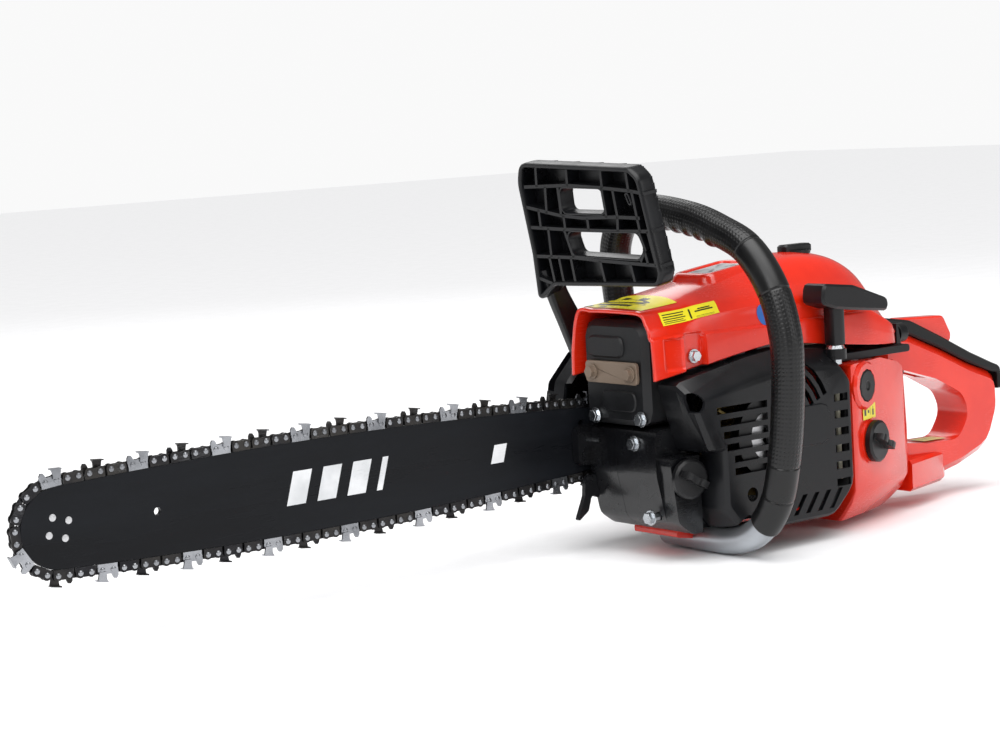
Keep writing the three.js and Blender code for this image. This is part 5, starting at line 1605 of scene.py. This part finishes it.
# ------------------------------------------------------------------ studio
@dataclass
class Studio:
    """Pale floor, soft boxes and the camera."""

    setting: Setting
    eye: tuple[float, float, float] = (-1251.6, -1370.6, 342.1)
    right: tuple[float, float, float] = (0.78956, -0.61094, -0.05786)
    up: tuple[float, float, float] = (0.11356, 0.05279, 0.99213)
    lens: float = 85.15

    def floor(self) -> None:
        """A wide plain floor under the saw."""
        side = 9.0
        corners = [(-side, -side, 0), (side, -side, 0), (side, side, 0), (-side, side, 0)]
        mesh = bpy.data.meshes.new("floor")
        mesh.from_pydata(corners, [], [(0, 1, 2, 3)])
        mesh.materials.append(FLOOR.material())
        floor = bpy.data.objects.new("floor", mesh)
        bpy.context.scene.collection.objects.link(floor)
        LOG.info("floor laid")

    def lights(self) -> None:
        """A large overhead box, a key from the viewer's left, a fill and a rim behind."""
        for name, place, aim, size, power in (
            ("overhead_box", (-0.3, -0.2, 1.9), (-0.1, 0, 0.1), 1.6, 17),
            ("left_key", (-1.9, -1.2, 1.3), (-0.1, 0, 0.15), 1.0, 12),
            ("right_fill", (0.7, -2.2, 0.9), (0.0, 0, 0.15), 1.2, 9),
            ("rear_rim", (0.9, 1.8, 1.5), (0.0, 0, 0.15), 1.2, 9),
        ):
            lamp = bpy.data.lights.new(name, "AREA")
            lamp.energy = power
            lamp.size = size
            holder = bpy.data.objects.new(name, lamp)
            holder.matrix_world = self._looking(np.array(place), np.array(aim))
            bpy.context.scene.collection.objects.link(holder)
        sun = bpy.data.lights.new("even_sky", "SUN")
        sun.energy = 2.6
        sun.angle = math.radians(70)
        high = bpy.data.objects.new("even_sky", sun)
        high.matrix_world = self._looking(np.array([-0.6, -0.7, 2.0]), np.array([0.0, 0.0, 0.0]))
        bpy.context.scene.collection.objects.link(high)
        self._air()
        bpy.context.scene.view_settings.view_transform = "Standard"
        LOG.info("lights set")

    @staticmethod
    def _air() -> None:
        """White surroundings, dimmer as a light than they look."""
        world = bpy.data.worlds.new("studio_air")
        world.use_nodes = True
        tree = world.node_tree
        air = next(n for n in tree.nodes if n.type == "BACKGROUND")
        air.inputs["Color"].default_value = (1.0, 1.0, 1.0, 1.0)
        seen = tree.nodes.new("ShaderNodeMapRange")
        tree.links.new(tree.nodes.new("ShaderNodeLightPath").outputs["Is Camera Ray"], seen.inputs["Value"])
        seen.inputs["To Min"].default_value = 0.26
        seen.inputs["To Max"].default_value = 0.95
        tree.links.new(seen.outputs["Result"], air.inputs["Strength"])
        bpy.context.scene.world = world

    @staticmethod
    def _looking(place: Array, aim: Array) -> Matrix:
        """A pose whose -Z axis points at the aim.

        Args:
            place: where it stands.
            aim: where it looks.

        Returns:
            The pose.
        """
        back = (place - aim) / np.linalg.norm(place - aim)
        right = np.cross([0, 0, 1], back)
        right /= np.linalg.norm(right)
        up = np.cross(back, right)
        pose = np.eye(4)
        pose[:3, 0], pose[:3, 1], pose[:3, 2], pose[:3, 3] = right, up, back, place
        return Matrix(pose.tolist())

    def camera(self) -> None:
        """The camera low in front of the bar's starter side."""
        lens = bpy.data.cameras.new("camera")
        lens.lens = self.lens
        lens.sensor_width = 36.0
        lens.clip_end = 50.0
        holder = bpy.data.objects.new("camera", lens)
        right, up = np.array(self.right), np.array(self.up)
        pose = np.eye(4)
        pose[:3, 0], pose[:3, 1], pose[:3, 2] = right, up, np.cross(right, up)
        pose[:3, 3] = self.setting.place(np.array(self.eye))
        holder.matrix_world = Matrix(pose.tolist())
        bpy.context.scene.collection.objects.link(holder)
        bpy.context.scene.camera = holder
        LOG.info("camera set")


def main() -> None:
    """Builds the saw piece by piece, then the studio."""
    logging.basicConfig(level=logging.INFO, format="%(name)s: %(message)s")
    setting = Setting(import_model())
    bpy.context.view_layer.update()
    CarriedOver(setting).dress()
    cover = TopCover(setting)
    cover.shell()
    cover.frame()
    cover.plate()
    cover.sticker("top_sticker", TOP_LABEL, (-90, -55), (7.2, 4.3))
    cover.sticker("side_sticker", SIDE_LABEL, (-80, -26), (2.55, 3.75))
    cover.sticker("round_sticker", BLUE_LABEL, (10, 36), (0.9, 2.6), True)
    stickers = FlatStickers(setting)
    stickers.lay("tank_sticker", FUEL_LABEL, (117.4, -59.5, 86.5), (0.961, 0.2765, 0), (0, 0, 1), (21, 12))
    stickers.lay("loop_sticker", HANDLE_LABEL, (250, 0, 42.0), (1, 0, -0.026), (0, 1, 0), (28, 17))
    guard = HandGuard(setting)
    guard.lattice()
    guard.back()
    handle = FrontHandle(setting)
    handle.tube()
    handle.sleeve()
    chain = Chain(setting)
    chain.straps()
    chain.rivet_heads()
    chain.cutters(-1, "chain_cutters_near", CHAIN_BRIGHT)
    # Painted shade: the far-leaning cutters take the dark steel in place of the bright chrome of the near
    # ones.
    chain.cutters(1, "chain_cutters_far_painted_shade", CHAIN_DARK_AND_PAINTED_SHADE)
    bar = BarDress(setting)
    bar.rivets()
    bar.stripes()
    studio = Studio(setting)
    studio.floor()
    studio.lights()
    studio.camera()


if __name__ == "__main__":
    main()
